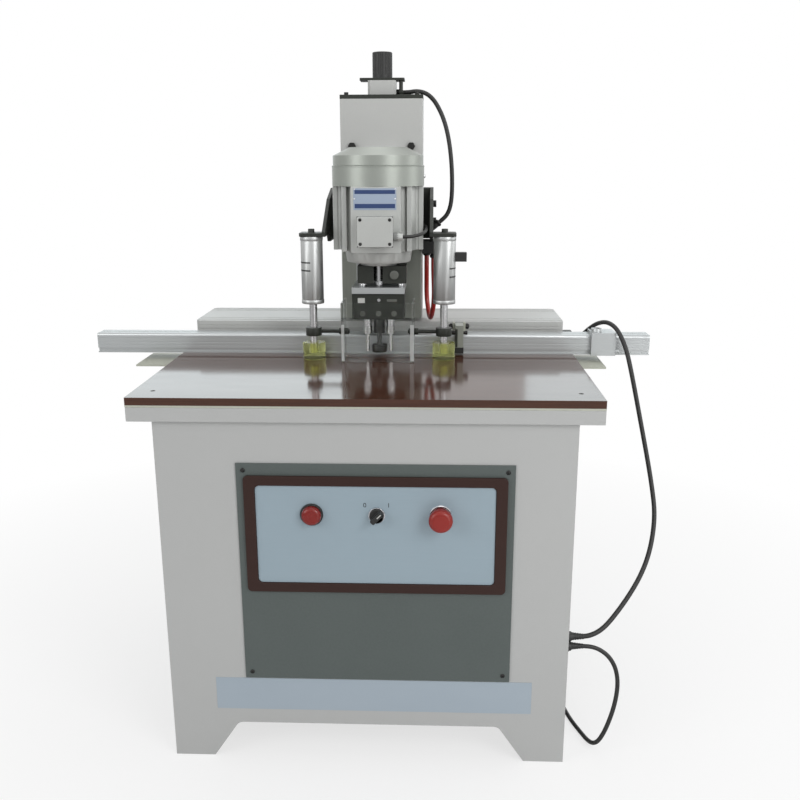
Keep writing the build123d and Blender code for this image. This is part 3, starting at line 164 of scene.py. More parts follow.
def studio_lights():
    """Lights round the object, strongest on its right, and two panes behind that the table mirrors."""
    middle = (0, 0, 0.85)
    area_light("key", (2.0, -2.4, 2.3), middle, 1.7, 1.7, 42)
    area_light("fill", (-2.4, -1.9, 1.8), middle, 1.6, 1.8, 24)
    area_light("top", (0.1, 0.1, 3.0), middle, 2.6, 2.2, 17)
    area_light("low_strip", (1.5, -2.0, 0.55), (0, 0, 0.95), 0.5, 1.0, 3.5)
    area_light("side", (2.4, 0.4, 1.2), (0, 0.1, 1.0), 1.2, 1.4, 7)
    pane_blue = (0.8, 0.96, 1.0)
    for name, x0, x1, z0, z1, power in (("pane_left", -1520, -275, 1262, 1762, 2.6),
                                        ("pane_right", 560, 1420, 1285, 1785, 1.5)):
        place = at((x0 + x1) / 2, 2500, (z0 + z1) / 2)
        area_light(name, place, place - Vector((0, 1, 0)), (x1 - x0) / 1000, (z1 - z0) / 1000, power,
                   pane_blue)


# Modelling helpers

def clear():
    """Leave edit mode and select nothing."""
    if bpy.context.object and bpy.context.object.mode != "OBJECT":
        bpy.ops.object.mode_set(mode="OBJECT")
    bpy.ops.object.select_all(action="DESELECT")


def named(name):
    """Name the active object and its mesh."""
    piece = bpy.context.object
    piece.name = name
    piece.data.name = name
    return piece


def pick(piece):
    """Select one piece alone and make it active."""
    clear()
    piece.select_set(True)
    bpy.context.view_layer.objects.active = piece


def edit_all():
    """Edit the active piece with all of it selected."""
    bpy.ops.object.mode_set(mode="EDIT")
    bpy.ops.mesh.select_all(action="SELECT")


def slab(name, x0, x1, y0, y1, z0, z1, edge=0.3, segments=2):
    """Block between two corners, with rounded edges."""
    clear()
    low, high = at(x0, y0, z0), at(x1, y1, z1)
    bpy.ops.mesh.primitive_cube_add(size=1, location=(low + high) / 2)
    piece = named(name)
    piece.scale = high - low
    bpy.ops.object.transform_apply(location=True, rotation=True, scale=True)
    edit_all()
    bpy.ops.mesh.bevel(offset=edge / 1000, segments=segments, affect="EDGES")
    bpy.ops.object.mode_set(mode="OBJECT")
    return piece


def turned(name, profile, sides=40, smooth=35):
    """Body of revolution on its own axis: a disc raised and resized along (radius, height) steps."""
    clear()
    r, h = profile[0]
    bpy.ops.mesh.primitive_circle_add(vertices=sides, radius=r / 1000, fill_type="NGON",
                                      location=(0, 0, h / 1000))
    piece = named(name)
    bpy.ops.object.transform_apply(location=True, rotation=True, scale=True)
    edit_all()
    for next_r, next_h in profile[1:]:
        bpy.ops.mesh.extrude_region_move(TRANSFORM_OT_translate={"value": (0, 0, (next_h - h) / 1000)})
        grow = next_r / r
        bpy.ops.transform.resize(value=(grow, grow, 1), center_override=(0, 0, next_h / 1000))
        r, h = next_r, next_h
    bpy.ops.mesh.select_all(action="SELECT")
    bpy.ops.mesh.normals_make_consistent(inside=False)
    bpy.ops.object.mode_set(mode="OBJECT")
    bpy.ops.object.shade_smooth_by_angle(angle=radians(smooth))
    return piece


def rounded_block(name, x0, x1, y0, y1, z0, z1, corner):
    """Block whose upright edges are rounded."""
    clear()
    low, high = at(x0, y0, z0), at(x1, y1, z1)
    foot = Vector(((low.x + high.x) / 2, (low.y + high.y) / 2, low.z))
    bpy.ops.mesh.primitive_plane_add(size=1, location=foot)
    piece = named(name)
    piece.scale = (high.x - low.x, high.y - low.y, 1)
    bpy.ops.object.transform_apply(location=True, rotation=True, scale=True)
    edit_all()
    bpy.ops.mesh.bevel(offset=corner / 1000, segments=8, affect="VERTICES")
    bpy.ops.mesh.select_all(action="SELECT")
    bpy.ops.mesh.extrude_region_move(TRANSFORM_OT_translate={"value": (0, 0, high.z - low.z)})
    bpy.ops.mesh.select_all(action="SELECT")
    bpy.ops.mesh.normals_make_consistent(inside=False)
    bpy.ops.object.mode_set(mode="OBJECT")
    return piece


def cut(piece, cutter):
    """Take the cutter's shape out of a piece."""
    pick(piece)
    tool = piece.modifiers.new("cut", "BOOLEAN")
    tool.operation = "DIFFERENCE"
    tool.solver = "EXACT"
    tool.object = cutter
    bpy.ops.object.modifier_apply(modifier="cut")
    bpy.data.objects.remove(cutter)


def bored(piece, r, z0, z1):
    """Take a round hole out of a piece that still stands on its own axis."""
    cut(piece, turned("bore", [(r, z0), (r, z1)], 64))
    return piece


def twin(piece):
    """A copy of a piece with its own mesh."""
    copy = piece.copy()
    copy.data = piece.data.copy()
    scene.collection.objects.link(copy)
    return copy


def set_out(pattern, name, places, facing):
    """Copies of a pattern on their places, joined into one piece that takes the pattern's stead."""
    copies = []
    for place in places:
        copy = twin(pattern)
        copy.matrix_world = Matrix.Translation(at(*place)) @ facing
        copies.append(copy)
    bpy.data.objects.remove(pattern)
    clear()
    for copy in copies:
        copy.select_set(True)
    bpy.context.view_layer.objects.active = copies[0]
    bpy.ops.object.transform_apply(location=True, rotation=True, scale=True)
    bpy.ops.object.join()
    return named(name)


def joined(name, pieces):
    """Join pieces into one."""
    clear()
    for piece in pieces:
        piece.select_set(True)
    bpy.context.view_layer.objects.active = pieces[0]
    bpy.ops.object.join()
    return named(name)


def dress(piece, body, finish):
    """Give a piece its material and its body."""
    piece.data.materials.clear()
    piece.data.materials.append(finish)
    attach(piece, body)
    return piece


def merged_copy(node, name):
    """A copy of a solid with its triangles merged into faces, ready to be cut."""
    clear()
    piece = bpy.data.objects.new(name, nodes[node].data.copy())
    scene.collection.objects.link(piece)
    pick(piece)
    edit_all()
    bpy.ops.mesh.remove_doubles(threshold=1e-6)
    bpy.ops.mesh.dissolve_limited(angle_limit=radians(0.5))
    bpy.ops.object.mode_set(mode="OBJECT")
    return piece


def soften(piece, width, angle=40):
    """Merge a solid's triangles and round its edges, as modifiers that leave its mesh as it is."""
    weld = piece.modifiers.new("weld", "WELD")
    weld.merge_threshold = 1e-6
    flat = piece.modifiers.new("flat", "DECIMATE")
    flat.decimate_type = "DISSOLVE"
    flat.angle_limit = radians(0.5)
    edge = piece.modifiers.new("edge", "BEVEL")
    edge.width = width / 1000
    edge.segments = 2
    edge.limit_method = "ANGLE"
    edge.angle_limit = radians(angle)
    edge.harden_normals = True


# Materials

def srgb(*colour):
    """A colour in 0 to 255 steps as linear values with alpha."""
    linear = []
    for step in colour:
        c = step / 255
        linear.append(c / 12.92 if c <= 0.04045 else ((c + 0.055) / 1.055) ** 2.4)
    return (*linear, 1)


def new_group(name, inputs, outputs):
    """Empty shader group with its sockets, and the nodes that stand for its inside and outside."""
    group = bpy.data.node_groups.new(name, "ShaderNodeTree")
    for label, kind in inputs:
        group.interface.new_socket(name=label, in_out="INPUT", socket_type=kind)
    for label, kind in outputs:
        group.interface.new_socket(name=label, in_out="OUTPUT", socket_type=kind)
    return group, group.nodes.new("NodeGroupInput"), group.nodes.new("NodeGroupOutput")


def surface_group(name):
    """Patches of a second shade, a roughness that drifts with them, and a fine grain as height.

    Stretch squeezes the pattern along each axis, so that it gives brushed lines or an even grain.
    """
    group, inside, outside = new_group(
        name,
        [("Colour", "NodeSocketColor"), ("Shade", "NodeSocketColor"), ("Patch", "NodeSocketVector"),
         ("Stretch", "NodeSocketVector"), ("Amount", "NodeSocketFloat"), ("Roughness", "NodeSocketFloat"),
         ("Spread", "NodeSocketFloat")],
        [("Colour", "NodeSocketColor"), ("Roughness", "NodeSocketFloat"), ("Height", "NodeSocketFloat")])
    make = group.nodes.new
    link = group.links.new
    coords = make("ShaderNodeTexCoord")
    noises = []
    for label, detail in (("Patch", 4), ("Stretch", 2)):
        squeeze = make("ShaderNodeVectorMath")
        squeeze.operation = "MULTIPLY"
        noise = make("ShaderNodeTexNoise")
        noise.inputs["Scale"].default_value = 1
        noise.inputs["Detail"].default_value = detail
        link(coords.outputs["Object"], squeeze.inputs[0])
        link(inside.outputs[label], squeeze.inputs[1])
        link(squeeze.outputs[0], noise.inputs["Vector"])
        noises.append(noise)
    patches, grain = noises
    both = make("ShaderNodeMath")
    both.operation = "ADD"
    link(patches.outputs["Fac"], both.inputs[0])
    link(grain.outputs["Fac"], both.inputs[1])
    reach = make("ShaderNodeMapRange")
    reach.inputs["From Min"].default_value = 0.7
    reach.inputs["From Max"].default_value = 1.3
    link(both.outputs[0], reach.inputs["Value"])
    mask = make("ShaderNodeMath")
    mask.operation = "MULTIPLY"
    link(reach.outputs["Result"], mask.inputs[0])
    link(inside.outputs["Amount"], mask.inputs[1])
    tint = make("ShaderNodeMix")
    tint.data_type = "RGBA"
    link(mask.outputs[0], tint.inputs["Factor"])
    link(inside.outputs["Colour"], tint.inputs["A"])
    link(inside.outputs["Shade"], tint.inputs["B"])
    rough = make("ShaderNodeMath")
    rough.operation = "MULTIPLY_ADD"
    link(reach.outputs["Result"], rough.inputs[0])
    link(inside.outputs["Spread"], rough.inputs[1])
    link(inside.outputs["Roughness"], rough.inputs[2])
    link(tint.outputs["Result"], outside.inputs["Colour"])
    link(rough.outputs[0], outside.inputs["Roughness"])
    link(grain.outputs["Fac"], outside.inputs["Height"])
    return group


def wear_group(name):
    """Rubbed edges, found where a rounded normal leaves the face's own, broken up by a small noise."""
    group, inside, outside = new_group(
        name,
        [("Colour", "NodeSocketColor"), ("Bare", "NodeSocketColor"), ("Amount", "NodeSocketFloat")],
        [("Colour", "NodeSocketColor")])
    make = group.nodes.new
    link = group.links.new
    shape = make("ShaderNodeNewGeometry")
    round_off = make("ShaderNodeBevel")
    round_off.samples = 4
    round_off.inputs["Radius"].default_value = 0.0022
    along = make("ShaderNodeVectorMath")
    along.operation = "DOT_PRODUCT"
    edges = make("ShaderNodeMapRange")
    edges.inputs["From Min"].default_value = 0.99
    edges.inputs["From Max"].default_value = 0.86
    coords = make("ShaderNodeTexCoord")
    noise = make("ShaderNodeTexNoise")
    noise.inputs["Scale"].default_value = 140
    chips = make("ShaderNodeMapRange")
    chips.inputs["From Min"].default_value = 0.4
    chips.inputs["From Max"].default_value = 0.65
    worn = make("ShaderNodeMath")
    worn.operation = "MULTIPLY"
    mask = make("ShaderNodeMath")
    mask.operation = "MULTIPLY"
    tint = make("ShaderNodeMix")
    tint.data_type = "RGBA"
    link(shape.outputs["Normal"], along.inputs[0])
    link(round_off.outputs["Normal"], along.inputs[1])
    link(along.outputs["Value"], edges.inputs["Value"])
    link(coords.outputs["Object"], noise.inputs["Vector"])
    link(noise.outputs["Fac"], chips.inputs["Value"])
    link(edges.outputs["Result"], worn.inputs[0])
    link(chips.outputs["Result"], worn.inputs[1])
    link(worn.outputs[0], mask.inputs[0])
    link(inside.outputs["Amount"], mask.inputs[1])
    link(mask.outputs[0], tint.inputs["Factor"])
    link(inside.outputs["Colour"], tint.inputs["A"])
    link(inside.outputs["Bare"], tint.inputs["B"])
    link(tint.outputs["Result"], outside.inputs["Colour"])
    return group


surface = surface_group("drifting_surface")
edge_wear = wear_group("edge_wear")


def finish(name, colour, shade, rough, spread=0.1, patch=(7, 7, 7), grain=(900, 900, 900), amount=0.5,
           bump=0.08, wear=0.0, bare=(150, 150, 148), **shader_values):
    """Material from the shared groups; the last arguments go straight to the shader's sockets."""
    material = bpy.data.materials.new(name)
    material.use_nodes = True
    tree = material.node_tree
    shader = tree.nodes["Principled BSDF"]
    skin = tree.nodes.new("ShaderNodeGroup")
    skin.node_tree = surface
    skin.inputs["Colour"].default_value = srgb(*colour)
    skin.inputs["Shade"].default_value = srgb(*shade)
    skin.inputs["Patch"].default_value = patch
    skin.inputs["Stretch"].default_value = grain
    skin.inputs["Amount"].default_value = amount
    skin.inputs["Roughness"].default_value = rough
    skin.inputs["Spread"].default_value = spread
    painted = skin
    if wear:
        painted = tree.nodes.new("ShaderNodeGroup")
        painted.node_tree = edge_wear
        painted.inputs["Bare"].default_value = srgb(*bare)
        painted.inputs["Amount"].default_value = wear
        tree.links.new(skin.outputs["Colour"], painted.inputs["Colour"])
    relief = tree.nodes.new("ShaderNodeBump")
    relief.inputs["Strength"].default_value = bump
    relief.inputs["Distance"].default_value = 0.0004
    tree.links.new(painted.outputs["Colour"], shader.inputs["Base Color"])
    tree.links.new(skin.outputs["Roughness"], shader.inputs["Roughness"])
    tree.links.new(skin.outputs["Height"], relief.inputs["Height"])
    tree.links.new(relief.outputs["Normal"], shader.inputs["Normal"])
    for socket, value in shader_values.items():
        shader.inputs[socket.replace("_", " ")].default_value = value
    return material


finishes = {
    "cabinet_paint": finish("cabinet_paint", (183, 184, 183), (176, 177, 176), 0.38, grain=(420, 420, 420),
                            patch=(2, 2, 3), amount=0.4, bump=0.06, wear=0.5, bare=(146, 145, 140)),
    "frame_paint": finish("frame_paint", (192, 193, 191), (183, 184, 181), 0.36, grain=(500, 500, 500),
                          amount=0.4, bump=0.06, wear=0.4, bare=(215, 215, 213)),
    "panel_paint": finish("panel_paint", (84, 92, 90), (75, 83, 81), 0.46, grain=(210, 210, 210),
                          patch=(9, 9, 9), amount=0.4, bump=0.3, wear=0.5, bare=(120, 124, 122)),
    "bezel_plastic": finish("bezel_plastic", (52, 30, 24), (40, 22, 18), 0.4, patch=(4, 40, 40),
                            grain=(60, 700, 700), bump=0.05, Specular_IOR_Level=0.3),
    "control_face": finish("control_face", (152, 169, 179), (144, 162, 173), 0.4, patch=(2, 3, 3),
                           grain=(20, 600, 1600), amount=0.4, bump=0.03),
    "table_laminate": finish("table_laminate", (80, 48, 34), (60, 34, 24), 0.09, 0.05, patch=(5, 30, 30),
                             grain=(14, 420, 420), amount=0.7, bump=0.015, wear=0.5, bare=(120, 86, 68)),
    "bed_steel": finish("bed_steel", (188, 190, 177), (170, 172, 158), 0.42, patch=(10, 10, 10), bump=0.1,
                        wear=0.6),
    "bright_steel": finish("bright_steel", (206, 206, 207), (176, 177, 178), 0.2, 0.1, patch=(20, 20, 8),
                           grain=(60, 60, 2600), bump=0.05, Metallic=1.0),
    "tool_steel": finish("tool_steel", (66, 67, 65), (46, 47, 46), 0.26, 0.1, patch=(30, 30, 12),
                         Metallic=0.85),
    "dark_fastener": finish("dark_fastener", (36, 36, 35), (24, 24, 24), 0.36, bump=0.06, wear=0.5,
                            bare=(110, 110, 108), Metallic=0.5),
    "fence_aluminium": finish("fence_aluminium", (187, 190, 190), (170, 174, 176), 0.32, 0.12,
                              patch=(1.5, 14, 14), grain=(14, 1500, 1500), bump=0.06, Metallic=0.8),
    "cylinder_tube": finish("cylinder_tube", (184, 186, 185), (167, 169, 169), 0.36, 0.1, patch=(6, 6, 3),
                            grain=(900, 900, 12), bump=0.04, Metallic=0.85),
    "motor_casting": finish("motor_casting", (193, 195, 192), (176, 179, 176), 0.36, patch=(12, 12, 12),
                            grain=(620, 620, 620), bump=0.14, wear=0.5, bare=(226, 227, 226), Metallic=0.3),
    "fan_cover_steel": finish("fan_cover_steel", (158, 162, 156), (144, 149, 143), 0.34, patch=(8, 8, 5),
                              bump=0.06, Metallic=0.75),
    "carriage_steel": finish("carriage_steel", (158, 162, 154), (140, 144, 136), 0.34, patch=(5, 5, 3),
                             grain=(900, 900, 25), bump=0.05, Metallic=0.5),
    "black_metal": finish("black_metal", (50, 53, 48), (38, 40, 37), 0.4, patch=(14, 14, 14),
                          grain=(520, 520, 520), bump=0.12, wear=0.35, bare=(80, 81, 77),
                          Specular_IOR_Level=0.3),
    "black_plastic": finish("black_plastic", (30, 31, 30), (22, 22, 22), 0.44, grain=(700, 700, 700),
                            bump=0.12, wear=0.4, bare=(70, 70, 68)),
    "ring_chrome": finish("ring_chrome", (205, 205, 208), (170, 171, 174), 0.14, 0.08, Metallic=1.0),
    "red_plastic": finish("red_plastic", (146, 32, 22), (126, 24, 17), 0.3, patch=(30, 30, 30), bump=0.03),
    "red_lens": finish("red_lens", (150, 28, 18), (122, 17, 12), 0.2, patch=(60, 60, 60), bump=0.02,
                       Transmission_Weight=0.25, IOR=1.49),
    "pad_urethane": finish("pad_urethane", (230, 234, 168), (222, 228, 152), 0.08, patch=(24, 24, 24),
                           bump=0.0, Transmission_Weight=0.85, IOR=1.2),
    "guard_clear": finish("guard_clear", (253, 254, 253), (249, 251, 250), 0.0, 0.02, patch=(10, 10, 10),
                          bump=0.01, Transmission_Weight=1.0, IOR=1.2),
    "cord_black": finish("cord_black", (32, 32, 31), (22, 22, 22), 0.46, grain=(600, 600, 600), bump=0.1),
    "hose_red": finish("hose_red", (168, 34, 26), (130, 24, 20), 0.3, patch=(16, 16, 6), bump=0.02,
                       Coat_Weight=0.3),
}
label_blue = finish("label_blue", (166, 178, 188), (156, 169, 181), 0.42, patch=(3, 3, 9), amount=0.5,
                    bump=0.03)
plate_blue = finish("plate_blue", (165, 178, 196), (150, 164, 184), 0.36, patch=(14, 14, 14), Metallic=0.2)
band_blue = finish("band_blue", (44, 66, 112), (34, 54, 96), 0.36, patch=(40, 40, 40))
mark_white = finish("mark_white", (206, 207, 203), (186, 187, 184), 0.4, patch=(60, 60, 60))
lead_grey = finish("lead_grey", (140, 142, 140), (120, 122, 120), 0.45, patch=(40, 40, 40))
# Whitish translucent finish of the guard's corner strips: a painted highlight of the clear walls seen
# edge-on.
frosted_highlight = finish("frosted_highlight", (244, 246, 245), (236, 239, 238), 0.35, patch=(20, 20, 6), bump=0.02,
                 Transmission_Weight=0.75, IOR=1.2)
dull_steel = finish("dull_steel", (112, 114, 109), (88, 90, 86), 0.35, patch=(40, 40, 40), Metallic=0.5)

edge_widths = {
    "cabinet_front": 1.4, "cabinet_shell": 1.4, "apron": 1.0, "bed_plate": 0.6, "table_top": 1.2,
    "front_panel": 0.8, "control_bezel": 1.6, "control_plate": 0.5, "control_collars": 0.6,
    "selector_knob": 0.8, "column_cap": 1.2, "cylinder_head": 1.2, "depth_stop": 0.7,
    "carriage_plate": 1.0, "head_bracket": 1.0, "gearbox_housing": 1.2, "coupling_housing": 1.2,
    "motor_frame": 1.4, "motor_flange": 1.2, "terminal_box": 1.0, "left_clamp_arm": 1.6,
    "right_clamp_arm": 1.6, "clamp_cylinders": 1.0, "rod_collars": 0.8, "guard": 0.7,
    "fence_brackets": 0.8, "flip_stop": 1.0, "stop_block": 0.8, "air_valve": 1.0, "cable_glands": 0.8,
    "head_bolts": 0.7, "frame_bolts": 0.7, "mains_plug": 1.2, "hinge_bit": 0.4,
}


def paint_solids():
    """Every solid gets the finish of its slot in the record, and soft edges where they show."""
    for solid in nodes.values():
        for place in solid.material_slots:
            place.material = finishes[place.material.name.split(".")[0]]
    for node, width in edge_widths.items():
        soften(nodes[node], width)


# Cords

def cord_line(name, route, diameter):
    """One smooth line through the air, with the route's points as its control points."""
    curve = bpy.data.curves.new(name, "CURVE")
    curve.dimensions = "3D"
    spline = curve.splines.new("NURBS")
    spline.points.add(len(route) - 1)
    for point, place in zip(spline.points, route):
        point.co = (*at(*place), 1)
    spline.order_u = 3
    spline.use_endpoint_u = True
    spline.resolution_u = 8
    curve.bevel_depth = diameter / 2000
    curve.bevel_resolution = 5
    curve.use_fill_caps = True
    piece = bpy.data.objects.new(name, curve)
    scene.collection.objects.link(piece)
    return piece


top_hose_route = [
    (44.5, 585, 1361), (60, 585, 1361), (80, 582, 1364), (101, 576, 1359), (118, 569, 1345),
    (132, 563, 1323), (144, 558, 1296), (153, 555, 1263), (159, 553, 1226), (162.5, 551.5, 1187),
    (163.5, 550.5, 1150), (162.5, 550, 1121), (159, 550, 1100), (152.5, 550, 1085),
    (143.31, 550, 1074.88), (133.21, 550, 1066.7)]
red_hose_route = [
    (121, 455, 995), (121, 455, 980.86), (121.19, 453.38, 966.71), (121.69, 449.13, 952.57),
    (122.31, 443.87, 938.43), (122.81, 439.62, 924.29), (123, 438, 910.14), (121.88, 438, 887.25),
    (119.62, 444.7, 871.08), (117.38, 457.08, 858.7), (115.12, 473.25, 852), (112.88, 490.75, 852),
    (110.62, 506.92, 858.7), (108.38, 519.3, 871.08), (106.12, 526, 887.25), (105, 526, 910.14),
    (105, 524.38, 924.29), (105, 520.13, 938.43), (105, 514.87, 952.57), (105, 510.62, 966.71),
    (105, 509, 980.86), (105, 509, 995)]
control_cable_route = [
    (445, 547, 784), (445, 531, 784), (449, 515, 787), (459, 499, 796), (474, 486, 812), (487, 468, 831),
    (501, 447, 846), (516, 420, 853), (532, 400, 844), (545, 386, 821), (555, 373, 792), (563, 360, 755),
    (572, 347, 710), (582, 335, 660), (592, 320, 608), (601, 303, 558), (608, 280, 507), (611, 254, 462),
    (604, 226, 421), (589, 194, 382), (567, 162, 350), (538, 128, 322), (507, 97, 297), (483, 75, 280.5),
    (466, 66, 270.5), (450, 61.5, 264.5), (436, 60, 262), (423, 60, 262)]
motor_lead_route = [
    (57, 276.5, 1054), (70, 276.5, 1054), (84, 281, 1056), (95, 293, 1058.5), (102, 311, 1061),
    (104.5, 335, 1063), (105, 361, 1064), (105.2, 387, 1065), (105, 410, 1066), (101.5, 424, 1066),
    (95, 438, 1066), (88, 451, 1066), (84, 464, 1066), (84, 476, 1066)]
mains_route = [
    (423, 60, 240), (438, 60, 240), (456, 60, 238), (474, 59, 230), (490, 57, 216), (502, 55, 195),
    (508, 52, 168), (507, 48, 138), (501, 43, 107), (492, 39, 77), (482, 38, 49), (473, 44, 26),
    (465, 58, 11), (457, 80, 4.5), (447, 108, 4.5), (436, 140, 4.5), (427, 176, 4.5), (421, 216, 4.5),
    (417, 262, 4.5), (415, 312, 4.5), (414, 365, 4.5), (415, 420, 4.5), (418, 475, 4.5), (422, 530, 4.5),
    (426, 582, 4.5), (427, 626, 4.5), (422, 658, 4.5), (409, 682, 4.5), (387, 694, 4.5), (360, 696, 4.5),
    (330, 697, 4.5), (308, 696, 4.5)]


def coil_turns():
    """The put-away length behind the cabinet: half-turns inwards, one step up, and out again."""
    step, inner_r, halves, tail = 9.6, 41, 5, 56
    x, y, z, way = 290, 696, 4.5, 1
    radii = [inner_r + (halves - k) * step / 2 for k in range(halves)]
    radii = radii + [inner_r] + radii[::-1]
    spread = 1 / cos(radians(15))
    points = []
    for k, r in enumerate(radii):
        rise = step if k == halves else 0
        for angle in range(15, 180, 30):
            a = radians(angle)
            points.append((x - way * spread * r * sin(a), y + way * r * (1 - spread * cos(a)),
                           z + rise * (1 - cos(a)) / 2))
        y += way * 2 * r
        z += rise
        way = -way
    return points + [(x - way * tail / 3, y, z), (x - way * tail, y, z)]


def cords():
    """Hoses, cables and leads on the routes of the part's source, and the tie of the coil."""
    black = finishes["cord_black"]
    hose = dress(cord_line("top_hose_line", top_hose_route, 10), "frame", black)
    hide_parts("top_air_hose")
    hose = dress(cord_line("red_hose_line", red_hose_route, 11), "frame", finishes["hose_red"])
    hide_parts("red_air_hose")
    cable = dress(cord_line("control_cable_line", control_cable_route, 10), "frame", black)
    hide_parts("control_cable")
    lead = dress(cord_line("motor_lead_line", motor_lead_route, 7), "boring_head", black)
    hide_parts("motor_lead")

    lead = dress(cord_line("mains_lead_line", mains_route + coil_turns(), 9), "frame", black)
    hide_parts("mains_lead", "mains_lead_coil")
    band = slab("coil_tie", 343.5, 379.5, 752, 757, 0.1, 19.6, 1.5)
    cut(band, slab("tie_hole", 345, 378, 750, 759, 1.2, 18.4, 1.5))
    dress(band, "frame", finishes["black_plastic"])


# Fasteners

def cross_screw(r, h):
    """Domed screw head with a cross recess."""
    head = turned("cross_screw", [(r, 0), (r, h * 0.4), (r * 0.82, h * 0.78), (r * 0.5, h)], 24)
    for x, y in ((r * 0.55, r * 0.12), (r * 0.12, r * 0.55)):
        clear()
        bpy.ops.mesh.primitive_cube_add(size=1, location=(0, 0, h / 1000))
        bpy.context.object.scale = (2 * x / 1000, 2 * y / 1000, h / 1000)
        bpy.ops.object.transform_apply(location=True, rotation=True, scale=True)
        cut(head, bpy.context.object)
    return head


def socket_screw(r, h):
    """Cylinder head with a hexagon socket."""
    head = turned("socket_screw", [(r, 0), (r, h * 0.85), (r * 0.9, h)], 28)
    clear()
    bpy.ops.mesh.primitive_cylinder_add(vertices=6, radius=r * 0.55 / 1000, depth=h * 1.2 / 1000,
                                        location=(0, 0, h / 1000))
    bpy.ops.object.transform_apply(location=True, rotation=True, scale=True)
    cut(head, bpy.context.object)
    return head


def cabinet_pieces():
    """Screws of panel and table, the bare strip under the panel, and the glands on the side."""
    places = [(12 + side * 254, 7.5, z) for side in (-1, 1) for z in (200, 634)]
    panel_screws = set_out(cross_screw(4.5, 2.5), "panel_screws", places, FRONT)
    dress(panel_screws, "frame", finishes["dark_fastener"])
    places = [(x, y, TABLE_Z - 0.6) for x in (-419, 403) for y in (53, 437)]
    table_screws = set_out(cross_screw(5, 0.9), "table_screws", places, UP)
    dress(table_screws, "frame", finishes["dark_fastener"])
    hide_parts("cover_screws")

    strip = slab("bare_strip", -319, 326, 9.4, 10, 112, 184, 0.25)
    dress(strip, "frame", label_blue)

    sleeves = []
    for z, cord_r in ((262, 5), (240, 4.5)):
        profile = [(8.4, 0), (8.4, 2)]
        for k in range(5):
            r = cord_r + 3.0 - 0.55 * k
            profile += [(r, 3 + 5 * k), (r - 0.2, 6 + 5 * k), (r - 1.1, 6.5 + 5 * k), (r - 1.2, 7.5 + 5 * k)]
        sleeve = set_out(turned("sleeve", profile, 28), "sleeve", [(408, GLAND_Y, z)], RIGHT)
        nut = set_out(turned("nut", [(11, 0), (11.5, 0.8), (11.5, 8.5), (10.4, 10)], 6, 20), "nut",
                      [(396, GLAND_Y, z)], RIGHT)
        sleeves += [sleeve, nut]
    dress(joined("gland_sleeves", sleeves), "frame", finishes["black_plastic"])


def control_pieces():
    """Lens ring, selector index, stop button skirt and the plain marks of the selector."""
    ring = turned("lamp_bezel", [(22.5, 0), (22.5, 2.5), (21, 4.6), (19.3, 4.6), (19.3, 0.5)], 48)
    dress(set_out(ring, "lamp_bezel", [(-111, 4.4, CONTROL_Z)], FRONT), "frame", finishes["black_plastic"])
    index = slab("selector_index", SELECTOR_X - 0.9, SELECTOR_X + 0.9, -18, -17.2, CONTROL_Z + 2,
                 CONTROL_Z + 12.5, 0.25)
    pick(index)
    bpy.ops.transform.rotate(value=-pi / 4, orient_axis="Y", center_override=at(SELECTOR_X, 0, CONTROL_Z))
    bpy.ops.object.transform_apply(location=True, rotation=True, scale=True)
    dress(index, "selector", mark_white)
    skirt = turned("stop_skirt", [(22, 0), (22, 2), (20.5, 3.8), (19, 3.8)], 48)
    dress(set_out(skirt, "stop_skirt", [(STOP_BUTTON_X, 4.4, CONTROL_Z)], FRONT), "frame",
          finishes["ring_chrome"])
    groove = turned("stop_ring", [(15, 0), (15.6, 0.5), (15.6, 0.9), (14.6, 1.1), (11, 1.1)], 48)
    dress(set_out(groove, "stop_ring", [(STOP_BUTTON_X, -31.6, CONTROL_Z)], FRONT), "emergency_stop",
          finishes["red_plastic"])
    marks = []
    for text, x in (("0", -8), ("1", 38)):
        clear()
        bpy.ops.object.text_add(location=at(x, 4.45, CONTROL_Z + 16))
        bpy.context.object.rotation_euler = (pi / 2, 0, 0)
        bpy.context.object.data.body = text
        bpy.context.object.data.size = 0.013
        bpy.context.object.data.align_x = "CENTER"
        bpy.context.object.data.extrude = 0.0001
        bpy.ops.object.convert(target="MESH")
        bpy.ops.object.transform_apply(location=True, rotation=True, scale=True)
        marks.append(bpy.context.object)
    dress(joined("selector_marks", marks), "frame", finishes["black_plastic"])


